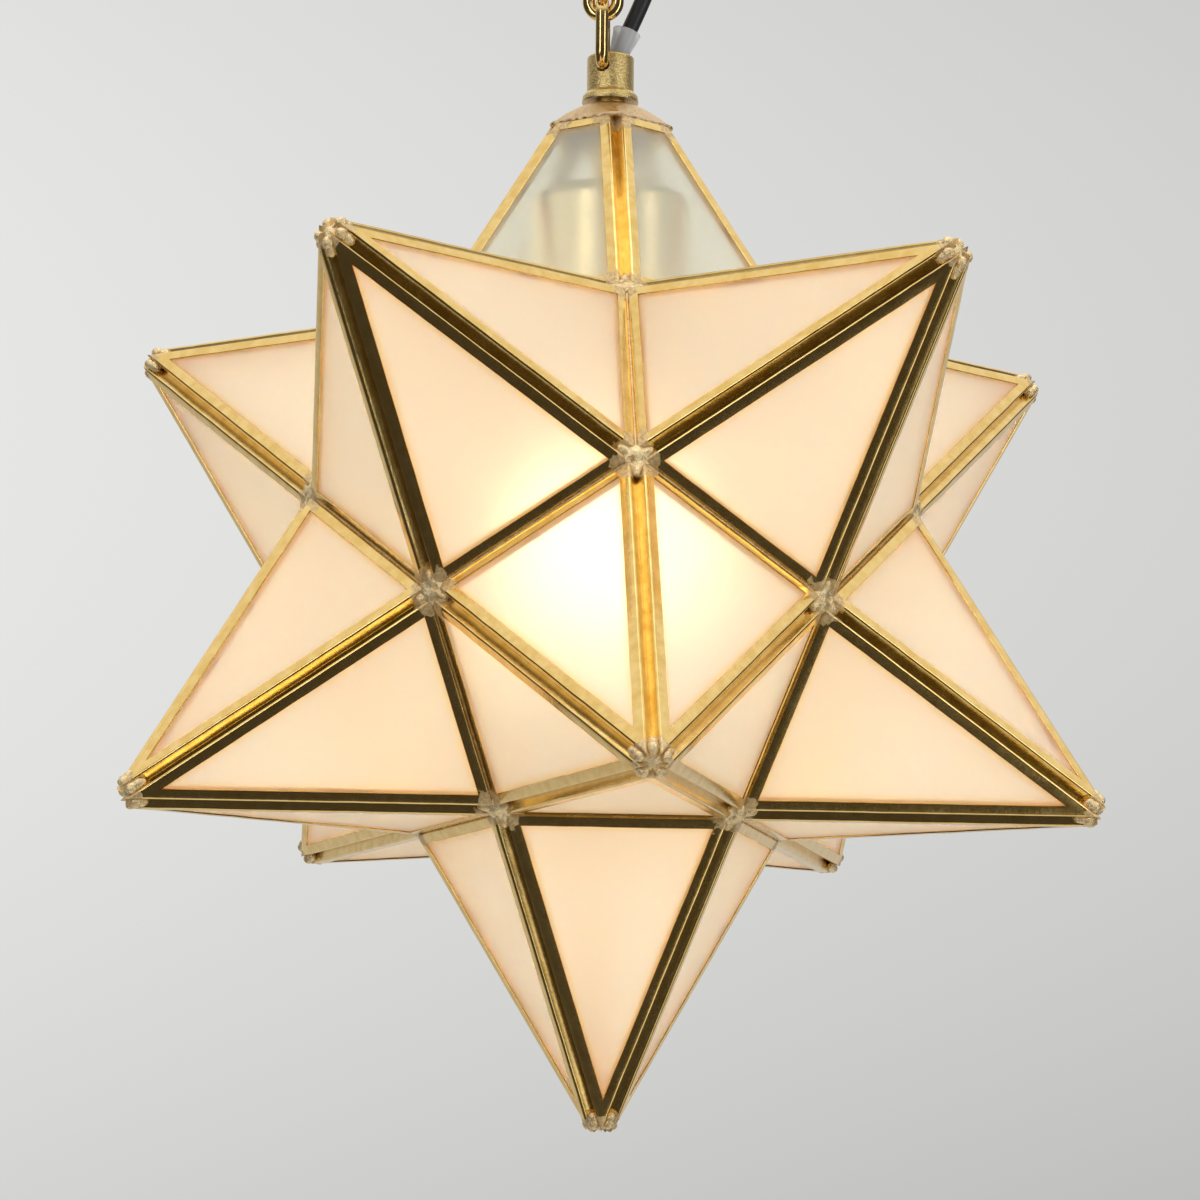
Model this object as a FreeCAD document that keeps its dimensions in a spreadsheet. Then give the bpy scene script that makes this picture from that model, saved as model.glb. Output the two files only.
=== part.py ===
"""Twelve-pointed glass star pendant on a chain link, with its ceiling fitting.

Geometry: the star is a small stellated dodecahedron. A regular dodecahedron of edge
star_edge stands at its heart, and each of its twelve faces carries a pyramid of five
glass panes. Each pane has a folded brass channel (came) round its edge.

Frame: millimetres, +Z up, front is -Y. The origin is the middle of the canopy's rim,
where it meets the ceiling. The chain hangs straight down from there.
Star frame: the same directions, with its origin at the middle of the star.
Chain frame: the row frame turned about Z by chain_turn.
"""
import FreeCAD, Part
import math
import os
import re
import Sketcher

Vector = FreeCAD.Vector
Rotation = FreeCAD.Rotation
Placement = FreeCAD.Placement

# ---------------------------------------------------------------- driving dimensions
SIZES = {
    # star
    "star_edge": 74.0,            # edge of the dodecahedron at the heart of the star
    "came_width": 4.0,            # across the channel, outside
    "came_depth": 3.6,            # depth of the channel's flanges
    "came_sheet": 0.45,           # brass sheet of the channel
    "glass_thick": 3.0,
    "glass_play": 0.05,           # between a pane's edge and its channel
    "seam_gap": 0.05,             # between the channels of neighbouring panes
    "door_gap": 0.45,             # between the hinged point and the rest of the star
    "corner_solder_radius": 2.2,
    "corner_solder_sink": 1.5,    # centre of the lump, inward of the heart's corner
    "tip_solder_radius": 5.0,
    "tip_solder_sink": 4.4,       # centre of the lump below the tip of the channels
    "solder_gap": 0.06,
    # cut top point, cap and stem
    "top_cut_radius": 21.7,       # from the axis to a corner of the cut
    "cap_radius": 19.4,
    "cap_rise": 9.4,
    "cap_sheet": 1.0,
    "flange_radius": 9.1,
    "flange_neck_radius": 7.9,
    "flange_high": 4.4,
    "stem_radius": 7.45,
    "stem_bore_radius": 6.4,
    "stem_high": 17.1,            # flange and tube together
    "stem_rim_round": 0.7,
    "nipple_radius": 5.0,
    "nipple_bore_radius": 3.6,
    "nipple_grip": 6.2,           # length of nipple inside the stem
    "thread_play": 0.05,
    "nut_flats": 14.0,
    "nut_thick": 3.0,
    # lampholder
    "cup_radius": 25.5,
    "cup_high": 58.0,
    "cup_sheet": 0.8,
    "cup_round": 5.0,
    "cup_air": 15.4,              # down from where the cup's shoulder would meet the panes
    "holder_radius": 19.0,
    "holder_high": 50.0,
    "shell_radius": 13.9,         # lampholder's screw shell, outside
    "shell_sheet": 0.4,
    "shell_high": 26.0,
    # bulb
    "bulb_radius": 30.0,
    "bulb_glass": 0.8,
    "bulb_centre_drop": 66.0,     # from the holder's mouth down to the globe's centre
    "bulb_base_radius": 13.1,
    "bulb_base_high": 24.0,
    "bulb_neck_radius": 14.5,
    # chain
    "chain_turn": -9.0,           # azimuth of the lower link's front
    "link_wire": 4.2,
    "link_wide": 13.6,
    "link_long": 25.4,
    "link_play": 0.05,
    "hook_drop": 5.8,             # from the stem's rim down to the hook hole
    "hook_aside": 2.2,            # hook hole left of the stem's middle
    "hook_forward": 6.2,          # hook hole in front of the stem's middle
    "hook_hole_play": 0.3,
    # cable
    "cable_radius": 2.7,
    "sleeve_foot_radius": 3.05,
    "sleeve_lift": 2.4,           # along the cable from its bend in the stem's mouth
    "sleeve_mouth_radius": 5.4,
    "sleeve_wall": 0.45,
    "sleeve_long": 9.6,
    "sleeve_lean": 20.0,
    "bush_radius": 6.0,
    "bush_high": 4.0,
    # ceiling fitting
    "loop_radius": 8.6,           # middle of the loop's wire
    "loop_hub_radius": 8.0,
    "loop_hub_high": 8.0,
    "canopy_radius": 55.0,
    "canopy_high": 27.0,
    "canopy_sheet": 0.9,
    "canopy_round": 17.0,
    "bar_long": 96.0,
    "bar_wide": 18.0,
    "bar_thick": 2.5,
    "bar_slot_spacing": 70.0,
    "bar_slot_long": 12.0,
    "bar_slot_radius": 2.3,
    "boss_radius": 8.5,
    "boss_high": 7.0,
    # hinge of the door
    "hinge_barrel_radius": 1.7,
    "hinge_pin_radius": 0.8,
    "hinge_pin_play": 0.05,
    "hinge_long": 26.0,
    "hinge_leaf_thick": 0.7,
    "hinge_leaf_wide": 2.6,
    "hinge_stand_off": 0.25,
}

# ---------------------------------------------------------------- fixed proportions
GOLDEN = (1 + math.sqrt(5)) / 2
FIFTH = 72.0                                                   # a fifth of a turn
FACE_TILT = math.degrees(math.atan(2))                         # pane against its base
RIDGE_HALF = math.degrees(math.atan(GOLDEN))                   # half the ridge's angle
FACE_INRADIUS = 0.5 / math.tan(math.radians(36))               # per unit of edge
FACE_CIRCUMRADIUS = 0.5 / math.sin(math.radians(36))
FACE_HEIGHT = 0.5 * GOLDEN ** 2.5 / 5 ** 0.25                  # heart's centre to a face
PYRAMID_RISE = 2 * FACE_INRADIUS                               # base to full apex

# Lengths worked out from the driving ones. Each is written as an expression.
DERIVED = {
    "face_z": f"star_edge * {FACE_HEIGHT:.9f}",
    "face_inradius": f"star_edge * {FACE_INRADIUS:.9f}",
    "face_circumradius": f"star_edge * {FACE_CIRCUMRADIUS:.9f}",
    "ridge_inset": f"came_width / tan({RIDGE_HALF:.9f}) + seam_gap",
    "full_apex_z": f"face_z + star_edge * {PYRAMID_RISE:.9f}",
    # Section of a point at height z: corner radius = (full_apex_z - z) * corner_slope
    "top_cut_z": f"full_apex_z - top_cut_radius * {GOLDEN:.9f}",
    "top_cut_slope": f"(top_cut_z - face_z) / sin({FACE_TILT:.9f})",
    "tip_z": "face_z + ((star_edge / 2 - ridge_inset / sin(72)) * tan(72)) "
             f"* sin({FACE_TILT:.9f})",
    "cap_z": "top_cut_z + seam_gap",
    "stem_foot_z": "cap_z + cap_rise",
    "stem_top_z": "stem_foot_z + stem_high",
    "nipple_top_z": "stem_foot_z + nipple_grip",
    "cup_top_z": "cap_z - 2 * (cup_radius - top_cut_radius) - cup_air",
    "holder_top_z": "cup_top_z - cup_sheet - nut_thick",
    "holder_mouth_z": "holder_top_z - holder_high",
    "nipple_foot_z": "holder_top_z - nut_thick",
    "bulb_centre_z": "holder_mouth_z - bulb_centre_drop",
    "hook_z": "stem_top_z - hook_drop",
    "link_reach": "link_long - link_wire",
    "link_step": "link_wire + link_play",
    "upper_link_z": "hook_z + link_reach - link_step",
    "loop_foot_z": "upper_link_z + link_reach - link_step",
    "loop_centre_z": "loop_foot_z + loop_radius",
    "hub_foot_z": "loop_centre_z + loop_radius",
    "canopy_foot_z": "hub_foot_z + loop_hub_high",
    "ceiling_z": "canopy_foot_z + canopy_high",
}

doc = FreeCAD.newDocument("star_pendant")
sheet = doc.addObject("Spreadsheet::Sheet", "Sizes")
for row, (alias, size) in enumerate(SIZES.items(), start=1):
    sheet.set(f"A{row}", alias)
    sheet.set(f"B{row}", str(size))
    sheet.setAlias(f"B{row}", alias)
doc.recompute()

WORD = re.compile(r"[A-Za-z_]\w*")


def bound(text):
    """Expression in plain size names -> expression bound to the sheet's cells."""
    def swap(match):
        word = match.group(0)
        if word in DERIVED:
            return "(" + bound(DERIVED[word]) + ")"
        if word in SIZES:
            return "Sizes." + word
        return word
    return WORD.sub(swap, str(text))


def size(text):
    """Value of an expression in millimetres or degrees."""
    value = sheet.evalExpression(bound(text))
    return float(getattr(value, "Value", value))


nodes = []


def as_node(part, label):
    part.Label = label
    nodes.append(part)
    return part


# ---------------------------------------------------------------- building helpers
def new_body(name):
    return doc.addObject("PartDesign::Body", name)


def new_sketch(body, role, name):
    sketch = body.newObject("Sketcher::SketchObject", name)
    plane = [item for item in body.Origin.OriginFeatures if item.Role == role][0]
    sketch.AttachmentSupport = [(plane, "")]
    sketch.MapMode = "FlatFace"
    return sketch


def draw_outline(sketch, corners):
    """Closed outline of straight sides. corners: pairs of expressions."""
    points = [Vector(size(across), size(along), 0) for across, along in corners]
    first = sketch.GeometryCount
    count = len(points)
    for index, point in enumerate(points):
        line = Part.LineSegment(point, points[(index + 1) % count])
        sketch.addGeometry(line, False)
    for index in range(count):
        following = first + (index + 1) % count
        sketch.addConstraint(Sketcher.Constraint("Coincident", first + index, 2, following, 1))
    for index, (across, along) in enumerate(corners):
        for kind, text, value in (("DistanceX", across, points[index].x),
                                  ("DistanceY", along, points[index].y)):
            added = sketch.addConstraint(
                Sketcher.Constraint(kind, -1, 1, first + index, 1, value))
            sketch.setExpression(f"Constraints[{added}]", bound(text))


def slab(name, corners, thick):
    """Body: an outline on XY, padded evenly to both sides."""
    body = new_body(name)
    sketch = new_sketch(body, "XY_Plane", name + "_outline")
    draw_outline(sketch, corners)
    pad = body.newObject("PartDesign::Pad", name + "_pad")
    pad.Profile = sketch
    pad.SideType = "Symmetric"
    pad.setExpression("Length", bound(thick))
    return body


def pocket(body, name, corners, thick):
    """Pocket in a slab, even to both sides of XY."""
    sketch = new_sketch(body, "XY_Plane", name + "_outline")
    draw_outline(sketch, corners)
    cut = body.newObject("PartDesign::Pocket", name)
    cut.Profile = sketch
    cut.SideType = "Symmetric"
    cut.setExpression("Length", bound(thick))
    return cut


def turned(name, profile):
    """Body of revolution about Z. profile: pairs (radius, height) of expressions."""
    body = new_body(name)
    sketch = new_sketch(body, "XZ_Plane", name + "_profile")
    draw_outline(sketch, profile)
    turn = body.newObject("PartDesign::Revolution", name + "_turn")
    turn.Profile = sketch
    turn.ReferenceAxis = (sketch, ["V_Axis"])
    turn.Angle = 360
    return body


def cylinder(name, radius, height):
    part = doc.addObject("Part::Cylinder", name)
    part.setExpression("Radius", bound(radius))
    part.setExpression("Height", bound(height))
    return part


def box(name, length, width, height):
    part = doc.addObject("Part::Box", name)
    for side, text in (("Length", length), ("Width", width), ("Height", height)):
        part.setExpression(side, bound(text))
    return part


def joined(name, parts):
    whole = doc.addObject("Part::MultiFuse", name)
    whole.Shapes = parts
    return whole


def cut_from(name, base, tool):
    rest = doc.addObject("Part::Cut", name)
    rest.Base = base
    rest.Tool = tool
    return rest


def grouped(name, parts):
    group = doc.addObject("Part::Compound", name)
    group.Links = parts
    return group


def copy_of(part, name, place):
    link = doc.addObject("App::Link", name)
    link.LinkedObject = part
    link.Placement = place
    return link


def move(across, deep, high):
    return Placement(Vector(across, deep, high), Rotation())


def turn_about(axis, angle):
    return Placement(Vector(), Rotation(axis, angle))


X_AXIS = Vector(1, 0, 0)
Y_AXIS = Vector(0, 1, 0)
Z_AXIS = Vector(0, 0, 1)


# ---------------------------------------------------------------- frames
def chain_to_star(aside, back):
    """Chain-frame offsets (right, back) as a vector in the star frame."""
    turn = Rotation(Z_AXIS, size("chain_turn"))
    return turn.multVec(Vector(aside, back, 0))


HOOK_OFFSET = chain_to_star(-size("hook_aside"), -size("hook_forward"))
STAR_PLACE = move(-HOOK_OFFSET.x, -HOOK_OFFSET.y, -size("ceiling_z"))
CHAIN_PLACE = move(0, 0, -size("ceiling_z")) * turn_about(Z_AXIS, size("chain_turn"))


def pane_place(index):
    """Pane frame -> point frame. The base edge's middle lies at 36 + 72 * index."""
    return (move(0, 0, size("face_z"))
            * turn_about(Z_AXIS, 36 + FIFTH * index)
            * move(0, -size("face_inradius"), 0)
            * turn_about(X_AXIS, FACE_TILT)
            * move(0, 0, -size("came_width") / 2))


def point_places():
    """Name of each point -> point frame to star frame."""
    places = {"top": Placement()}
    for index in range(5):
        places[f"upper_{index + 1}"] = (turn_about(Z_AXIS, 36 + FIFTH * index)
                                        * turn_about(X_AXIS, FACE_TILT))
        places[f"lower_{index + 1}"] = (turn_about(Z_AXIS, FIFTH * index)
                                        * turn_about(X_AXIS, 180 - FACE_TILT)
                                        * turn_about(Z_AXIS, 180))
    places["bottom"] = turn_about(X_AXIS, 180)
    return places


POINTS = point_places()
DOOR = "upper_3"                 # the point at the back, hinged on its top edge


# ---------------------------------------------------------------- panes and cames
def triangle(inset, lift="seam_gap"):
    """Pane outline: 36-72-72 triangle, its sides moved in by inset."""
    half = f"(star_edge / 2 - ridge_inset / sin(72) - ({lift}) / tan(72))"
    base = f"({half} - ({inset}) / tan(36))"
    foot = f"({lift}) + ({inset})"
    apex = f"({lift}) + {half} * tan(72) - ({inset}) / sin(18)"
    return [(f"-{base}", foot), (base, foot), ("0", apex)]


def trapezoid(inset):
    """Pane outline of the cut top point."""
    half = "(star_edge / 2 - ridge_inset / sin(72) - seam_gap / tan(72))"
    base = f"({half} - ({inset}) / tan(36))"
    foot = f"seam_gap + ({inset})"
    head = f"top_cut_slope - ({inset})"
    head_half = (f"({half} - (top_cut_slope - seam_gap) / tan(72)"
                 f" - ({inset}) / tan(54))")
    return [(f"-{base}", foot), (base, foot), (head_half, head), (f"-{head_half}", head)]


def came_frame(name, outline):
    """One channel folded round a pane: a slab with its window and its inner slot."""
    frame = slab(name, outline("0"), "came_width")
    pocket(frame, name + "_window", outline("came_depth"), "came_width * 2")
    pocket(frame, name + "_slot", outline("came_sheet"), "came_width - 2 * came_sheet")
    return frame


def pane(name, outline):
    return slab(name, outline("came_sheet + glass_play"), "glass_thick")


def door_triangle(inset):
    return triangle(inset, "door_gap")


def make_points():
    kinds = {
        "plain": (came_frame("plain_came", triangle), pane("plain_glass", triangle)),
        "cut": (came_frame("cut_came", trapezoid), pane("cut_glass", trapezoid)),
        "door": (came_frame("door_came", door_triangle), pane("door_glass", door_triangle)),
    }
    for point, place in POINTS.items():
        kind = {"top": "cut", DOOR: "door"}.get(point, "plain")
        for material, master in zip(("came", "glass"), kinds[kind]):
            copies = []
            for index in range(5):
                name = f"{point}_{material}_{index + 1}"
                copies.append(copy_of(master, name, place * pane_place(index)))
            group = grouped(f"{point}_{material}_set", copies)
            group.Placement = STAR_PLACE
            as_node(group, f"{point}_point_{material}")


# ---------------------------------------------------------------- solder
def ball(name, radius, centre):
    sphere = doc.addObject("Part::Sphere", name)
    sphere.setExpression("Radius", bound(radius))
    sphere.Placement = move(centre.x, centre.y, centre.z)
    return sphere


def tip_lump():
    """Brazing metal in the grooves round a tip, in the point frame."""
    block = slab("tip_block", triangle("-solder_gap"), "came_width * 3 + 2 * solder_gap")
    blocks = []
    for index in range(5):
        place = pane_place(index) * move(0, 0, -size("came_width"))
        blocks.append(copy_of(block, f"tip_block_{index}", place))
    whole = ball("tip_ball", "tip_solder_radius", Vector(0, 0, size("tip_z - tip_solder_sink")))
    return cut_from("tip_lump", whole, grouped("tip_blocks", blocks))


def top_corner():
    """The front corner of the heart's top face, in the star frame."""
    return Vector(0, -size("face_circumradius"), size("face_z"))


def corner_spots():
    """Name of each of the twenty corners -> turn that brings the top front corner there."""
    spots = {}
    for point, place in POINTS.items():
        for index in range(5 if point in ("top", "bottom") else 1):
            spots[f"corner_of_{point}_{index}"] = place * turn_about(Z_AXIS, FIFTH * index)
    return spots


def make_solder():
    """Lumps of brazing metal at the tips and at the corners between the points."""
    lump = tip_lump()
    tips = [copy_of(lump, f"tip_of_{point}", place) for point, place in POINTS.items()
            if point not in ("top", DOOR)]
    door_tips = [copy_of(lump, "tip_of_door", POINTS[DOOR])]

    middle = top_corner()
    sunk = middle * (1 - size("corner_solder_sink") / middle.Length)
    corner = ball("corner_lump", "corner_solder_radius", Vector())
    corners = [copy_of(corner, name, spot * Placement(sunk, Rotation()))
               for name, spot in corner_spots().items()]
    for label, parts in (("tip_solder", tips), ("door_tip_solder", door_tips),
                         ("corner_solder", corners)):
        group = grouped(label + "_set", parts)
        group.Placement = STAR_PLACE
        as_node(group, label)


# ---------------------------------------------------------------- door hinge
def hinge_frame():
    """Hinge frame in the star frame: X along the pin, at its middle."""
    out = size("hinge_barrel_radius + hinge_stand_off") / math.sin(math.radians(RIDGE_HALF))
    back = out * math.cos(math.radians(RIDGE_HALF))
    up = out * math.sin(math.radians(RIDGE_HALF))
    return move(0, size("face_inradius") + back, size("face_z") + up)


def hinge_leaf(name, slope, knuckles):
    """Leaf lying on a pane's channel, with its knuckles.

    slope: direction of the pane away from the valley, degrees up from +Y.
    knuckles: pairs (start, length) along the pin, as expressions.
    """
    sink = "-hinge_barrel_radius - hinge_stand_off + seam_gap"
    side = 1 if slope < 90 else -1
    plate_y = "hinge_barrel_radius * 1.15"
    parts = []
    for index, (start, length) in enumerate(knuckles):
        barrel = cylinder(f"{name}_barrel_{index}", "hinge_barrel_radius", length)
        barrel.Placement = move(size(start), 0, 0) * turn_about(Y_AXIS, 90)
        web = box(f"{name}_web_{index}", length, f"{plate_y} + 0.3", "hinge_leaf_thick * 2")
        web_z = size(sink) if side > 0 else -size(sink) - size("hinge_leaf_thick * 2")
        web.Placement = turn_about(X_AXIS, slope) * move(size(start), 0, web_z)
        parts += [barrel, web]
    plate = box(f"{name}_plate", "hinge_long", "hinge_leaf_wide", "hinge_leaf_thick")
    plate_z = size(sink) if side > 0 else -size(sink) - size("hinge_leaf_thick")
    plate.Placement = (turn_about(X_AXIS, slope)
                       * move(-size("hinge_long") / 2, size(plate_y), plate_z))
    parts.append(plate)
    bore = cylinder(f"{name}_bore", "hinge_pin_radius + hinge_pin_play", "hinge_long * 2")
    bore.Placement = move(-size("hinge_long"), 0, 0) * turn_about(Y_AXIS, 90)
    return cut_from(name, joined(f"{name}_body", parts), bore)


def make_hinge():
    frame = STAR_PLACE * hinge_frame()
    third = "hinge_long / 3"
    outer = [("-hinge_long / 2", f"{third} - 0.15"), (f"{third} / 2 + 0.15", f"{third} - 0.15")]
    inner = [(f"0.15 - {third} / 2", f"{third} - 0.3")]
    fixed_leaf = hinge_leaf("fixed_leaf", 2 * RIDGE_HALF, outer)
    moving_leaf = hinge_leaf("moving_leaf", 0, inner)
    fixed_leaf.Placement = frame
    moving_leaf.Placement = frame
    pin = cylinder("pin_rod", "hinge_pin_radius", "hinge_long + 1.6")
    pin.Placement = frame * move(-size("hinge_long") / 2 - 0.8, 0, 0) * turn_about(Y_AXIS, 90)
    as_node(fixed_leaf, "hinge_leaf_star")
    as_node(moving_leaf, "hinge_leaf_door")
    as_node(pin, "hinge_pin")


# ---------------------------------------------------------------- cap, stem and nipple
def make_cap():
    dome = "((cap_radius ^ 2 + cap_rise ^ 2) / (2 * cap_rise))"
    shells = []
    for name, radius in (("cap_outside", dome), ("cap_inside", f"({dome} - cap_sheet)")):
        sphere = doc.addObject("Part::Sphere", name)
        sphere.setExpression("Radius", bound(radius))
        sphere.setExpression("Angle1", bound(f"asin(({dome} - cap_rise) / {radius})"))
        sphere.Placement = move(0, 0, size(f"cap_z + cap_rise - {dome}"))
        shells.append(sphere)
    hole = cylinder("cap_hole", "nipple_radius + thread_play", "cap_rise * 2")
    hole.Placement = move(0, 0, size("cap_z"))
    cap = cut_from("cap_body", cut_from("cap_shell", *shells), hole)
    cap.Placement = STAR_PLACE
    as_node(cap, "top_cap")


def make_stem():
    tube = turned("stem_body", [
        ("nipple_radius + thread_play", "stem_foot_z"),
        ("flange_radius", "stem_foot_z"),
        ("flange_radius", "stem_foot_z + flange_high * 0.35"),
        ("flange_neck_radius", "stem_foot_z + flange_high"),
        ("stem_radius", "stem_foot_z + flange_high"),
        ("stem_radius", "stem_top_z - stem_rim_round"),
        ("stem_radius - stem_rim_round", "stem_top_z"),
        ("stem_bore_radius", "stem_top_z"),
        ("stem_bore_radius", "nipple_top_z"),
        ("nipple_radius + thread_play", "nipple_top_z"),
    ])
    hole = cylinder("hook_hole", "link_wire / 2 + hook_hole_play", "stem_radius * 4")
    hole.Placement = (move(HOOK_OFFSET.x, HOOK_OFFSET.y, size("hook_z"))
                      * turn_about(Z_AXIS, size("chain_turn"))
                      * turn_about(X_AXIS, -90)
                      * move(0, 0, -size("stem_radius")))
    stem = cut_from("stem_drilled", tube, hole)
    stem.Placement = STAR_PLACE
    as_node(stem, "stem")


def make_nipple():
    nipple = turned("nipple_tube", [
        ("nipple_bore_radius", "nipple_foot_z + thread_play"),
        ("nipple_radius", "nipple_foot_z + thread_play"),
        ("nipple_radius", "nipple_top_z"),
        ("nipple_bore_radius", "nipple_top_z"),
    ])
    nipple.Placement = STAR_PLACE
    as_node(nipple, "nipple")


def hex_nut(name):
    nut = doc.addObject("Part::Prism", name + "_hex")
    nut.Polygon = 6
    nut.setExpression("Circumradius", bound("nut_flats / 2 / cos(30)"))
    nut.setExpression("Height", bound("nut_thick - 2 * thread_play"))
    bore = cylinder(name + "_bore", "nipple_radius + thread_play", "nut_thick * 2")
    return cut_from(name, nut, bore)


def make_nuts():
    """Three equal nuts: under the cap, on the cup, and inside the cup."""
    nut = hex_nut("locknut")
    dome = size("(cap_radius ^ 2 + cap_rise ^ 2) / (2 * cap_rise)")
    corner = size("nut_flats / 2 / cos(30)")
    sag = dome - math.sqrt(dome ** 2 - corner ** 2)
    under_cap = size("stem_foot_z - cap_sheet - nut_thick") - sag - 0.1
    heights = [under_cap, size("cup_top_z + thread_play"),
               size("cup_top_z - cup_sheet - nut_thick + thread_play")]
    copies = [copy_of(nut, f"nut_{index}", move(0, 0, height))
              for index, height in enumerate(heights)]
    group = grouped("nut_set", copies)
    group.Placement = STAR_PLACE
    as_node(group, "locknuts")


# ---------------------------------------------------------------- lampholder
def round_edge(body, name, radius, height, rounding):
    """Fillet on the circular edge of a turned body at that radius and height."""
    doc.recompute()
    tip = body.Tip
    chosen = []
    for number, edge in enumerate(tip.Shape.Edges, start=1):
        curve = edge.Curve
        if not isinstance(curve, Part.Circle):
            continue
        if abs(curve.Radius - size(radius)) < 1e-4 and abs(curve.Center.z - size(height)) < 1e-4:
            chosen.append(f"Edge{number}")
    fillet = body.newObject("PartDesign::Fillet", name)
    fillet.Base = (tip, chosen)
    fillet.setExpression("Radius", bound(rounding))


def make_cup():
    hole = "nipple_radius + thread_play"
    foot = "cup_top_z - cup_high"
    cup = turned("cup_body", [
        (hole, "cup_top_z"),
        ("cup_radius", "cup_top_z"),
        ("cup_radius", foot),
        ("cup_radius - cup_sheet", foot),
        ("cup_radius - cup_sheet", "cup_top_z - cup_sheet"),
        (hole, "cup_top_z - cup_sheet"),
    ])
    round_edge(cup, "cup_shoulder", "cup_radius", "cup_top_z", "cup_round")
    round_edge(cup, "cup_shoulder_inside", "cup_radius - cup_sheet", "cup_top_z - cup_sheet",
               "cup_round - cup_sheet")
    cup.Placement = STAR_PLACE
    as_node(cup, "socket_cup")


def make_holder():
    cavity = "shell_radius + thread_play"
    ceiling = "holder_mouth_z + shell_high + 5"
    holder = turned("holder_body", [
        ("nipple_radius + thread_play", "holder_top_z"),
        ("holder_radius * 0.8", "holder_top_z"),
        ("holder_radius", "holder_top_z - 5"),
        ("holder_radius", "holder_mouth_z"),
        (cavity, "holder_mouth_z"),
        (cavity, ceiling),
        ("nipple_bore_radius", ceiling),
        ("nipple_bore_radius", "nipple_foot_z"),
        ("nipple_radius + thread_play", "nipple_foot_z"),
    ])
    head = "holder_mouth_z + shell_high"
    shell = turned("holder_screw_shell", [
        ("shell_radius", "holder_mouth_z + 0.5"),
        ("shell_radius", head),
        ("9", head),
        ("9", f"{head} - shell_sheet"),
        ("shell_radius - shell_sheet", f"{head} - shell_sheet"),
        ("shell_radius - shell_sheet", "holder_mouth_z + 0.5"),
    ])
    contact = turned("holder_spring", [
        ("0", f"{ceiling} - 0.05"),
        ("7", f"{ceiling} - 0.05"),
        ("7", f"{ceiling} - 0.6"),
        ("3", f"{ceiling} - 0.6"),
        ("2", f"{ceiling} - 1.5"),
        ("0", f"{ceiling} - 1.5"),
    ])
    for part, label in ((holder, "lampholder"), (shell, "lampholder_shell"),
                        (contact, "lampholder_contact")):
        part.Placement = STAR_PLACE
        as_node(part, label)


# ---------------------------------------------------------------- bulb
def bulb_outline(name, radius, neck):
    """Ball, shoulder and neck of the bulb's glass as one solid."""
    sphere = ball(name + "_ball", radius, Vector(0, 0, size("bulb_centre_z")))
    start, shoulder = "bulb_radius * 0.6", "bulb_radius * 1.4"
    full = "holder_mouth_z - 0.6 - bulb_centre_z"
    cones = []
    steps = ((start, shoulder, f"{radius} * 0.8", f"{neck} + 0.8"),
             (shoulder, full, f"{neck} + 0.8", neck))
    for index, (low, high, wide, narrow) in enumerate(steps):
        cone = doc.addObject("Part::Cone", f"{name}_cone_{index}")
        cone.setExpression("Radius1", bound(wide))
        cone.setExpression("Radius2", bound(narrow))
        cone.setExpression("Height", bound(f"{high} - {low}"))
        cone.Placement = move(0, 0, size(f"bulb_centre_z + {low}"))
        cones.append(cone)
    return joined(name, [sphere] + cones)


def make_bulb():
    glass = cut_from("bulb_glass_shell",
                     bulb_outline("bulb_out", "bulb_radius", "bulb_neck_radius"),
                     bulb_outline("bulb_in", "(bulb_radius - bulb_glass)",
                                  "(bulb_neck_radius - bulb_glass)"))
    foot = "holder_mouth_z - 0.5"
    head = f"{foot} + bulb_base_high"
    base = turned("bulb_base_shell", [
        ("bulb_base_radius - 0.4", foot),
        ("bulb_base_radius", foot),
        ("bulb_base_radius", head),
        ("8.6", f"{head} + 0.6"),
        ("8.2", f"{head} + 0.6"),
        ("bulb_base_radius - 0.4", f"{head} - 0.3"),
    ])
    insulator = turned("bulb_insulator_ring", [
        ("2.5", f"{head} + 0.65"),
        ("8.3", f"{head} + 0.65"),
        ("5.4", f"{head} + 3.8"),
        ("2.5", f"{head} + 3.8"),
    ])
    eyelet = turned("bulb_eyelet_button", [
        ("0", f"{head} + 3.85"),
        ("4.8", f"{head} + 3.85"),
        ("4.0", f"{head} + 5.7"),
        ("0", f"{head} + 5.7"),
    ])
    mount = turned("bulb_mount_post", [
        ("0", "bulb_centre_z + 14"),
        ("2", "bulb_centre_z + 14"),
        ("3", "bulb_centre_z + 40"),
        ("8", "holder_mouth_z - 5"),
        ("bulb_neck_radius - bulb_glass - 0.1", "holder_mouth_z - 2"),
        ("bulb_neck_radius - bulb_glass - 0.1", "holder_mouth_z - 1"),
        ("0", "holder_mouth_z - 1"),
    ])
    carrier = cylinder("filament_carrier", "3.6", "1.9")
    carrier.Placement = move(0, 0, size("bulb_centre_z + 12"))
    rods = [carrier]
    for index in range(4):
        rod = cylinder(f"filament_{index}", "1", "30")
        rod.Placement = (turn_about(Z_AXIS, 45 + 90 * index)
                         * move(9, 0, size("bulb_centre_z - 17"))
                         * turn_about(Y_AXIS, -12))
        rods.append(rod)
    for part, label in ((glass, "bulb_globe"), (base, "bulb_base"),
                        (insulator, "bulb_insulator"), (eyelet, "bulb_eyelet"),
                        (mount, "bulb_mount"), (joined("rods", rods), "bulb_filaments")):
        part.Placement = STAR_PLACE
        as_node(part, label)


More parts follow.
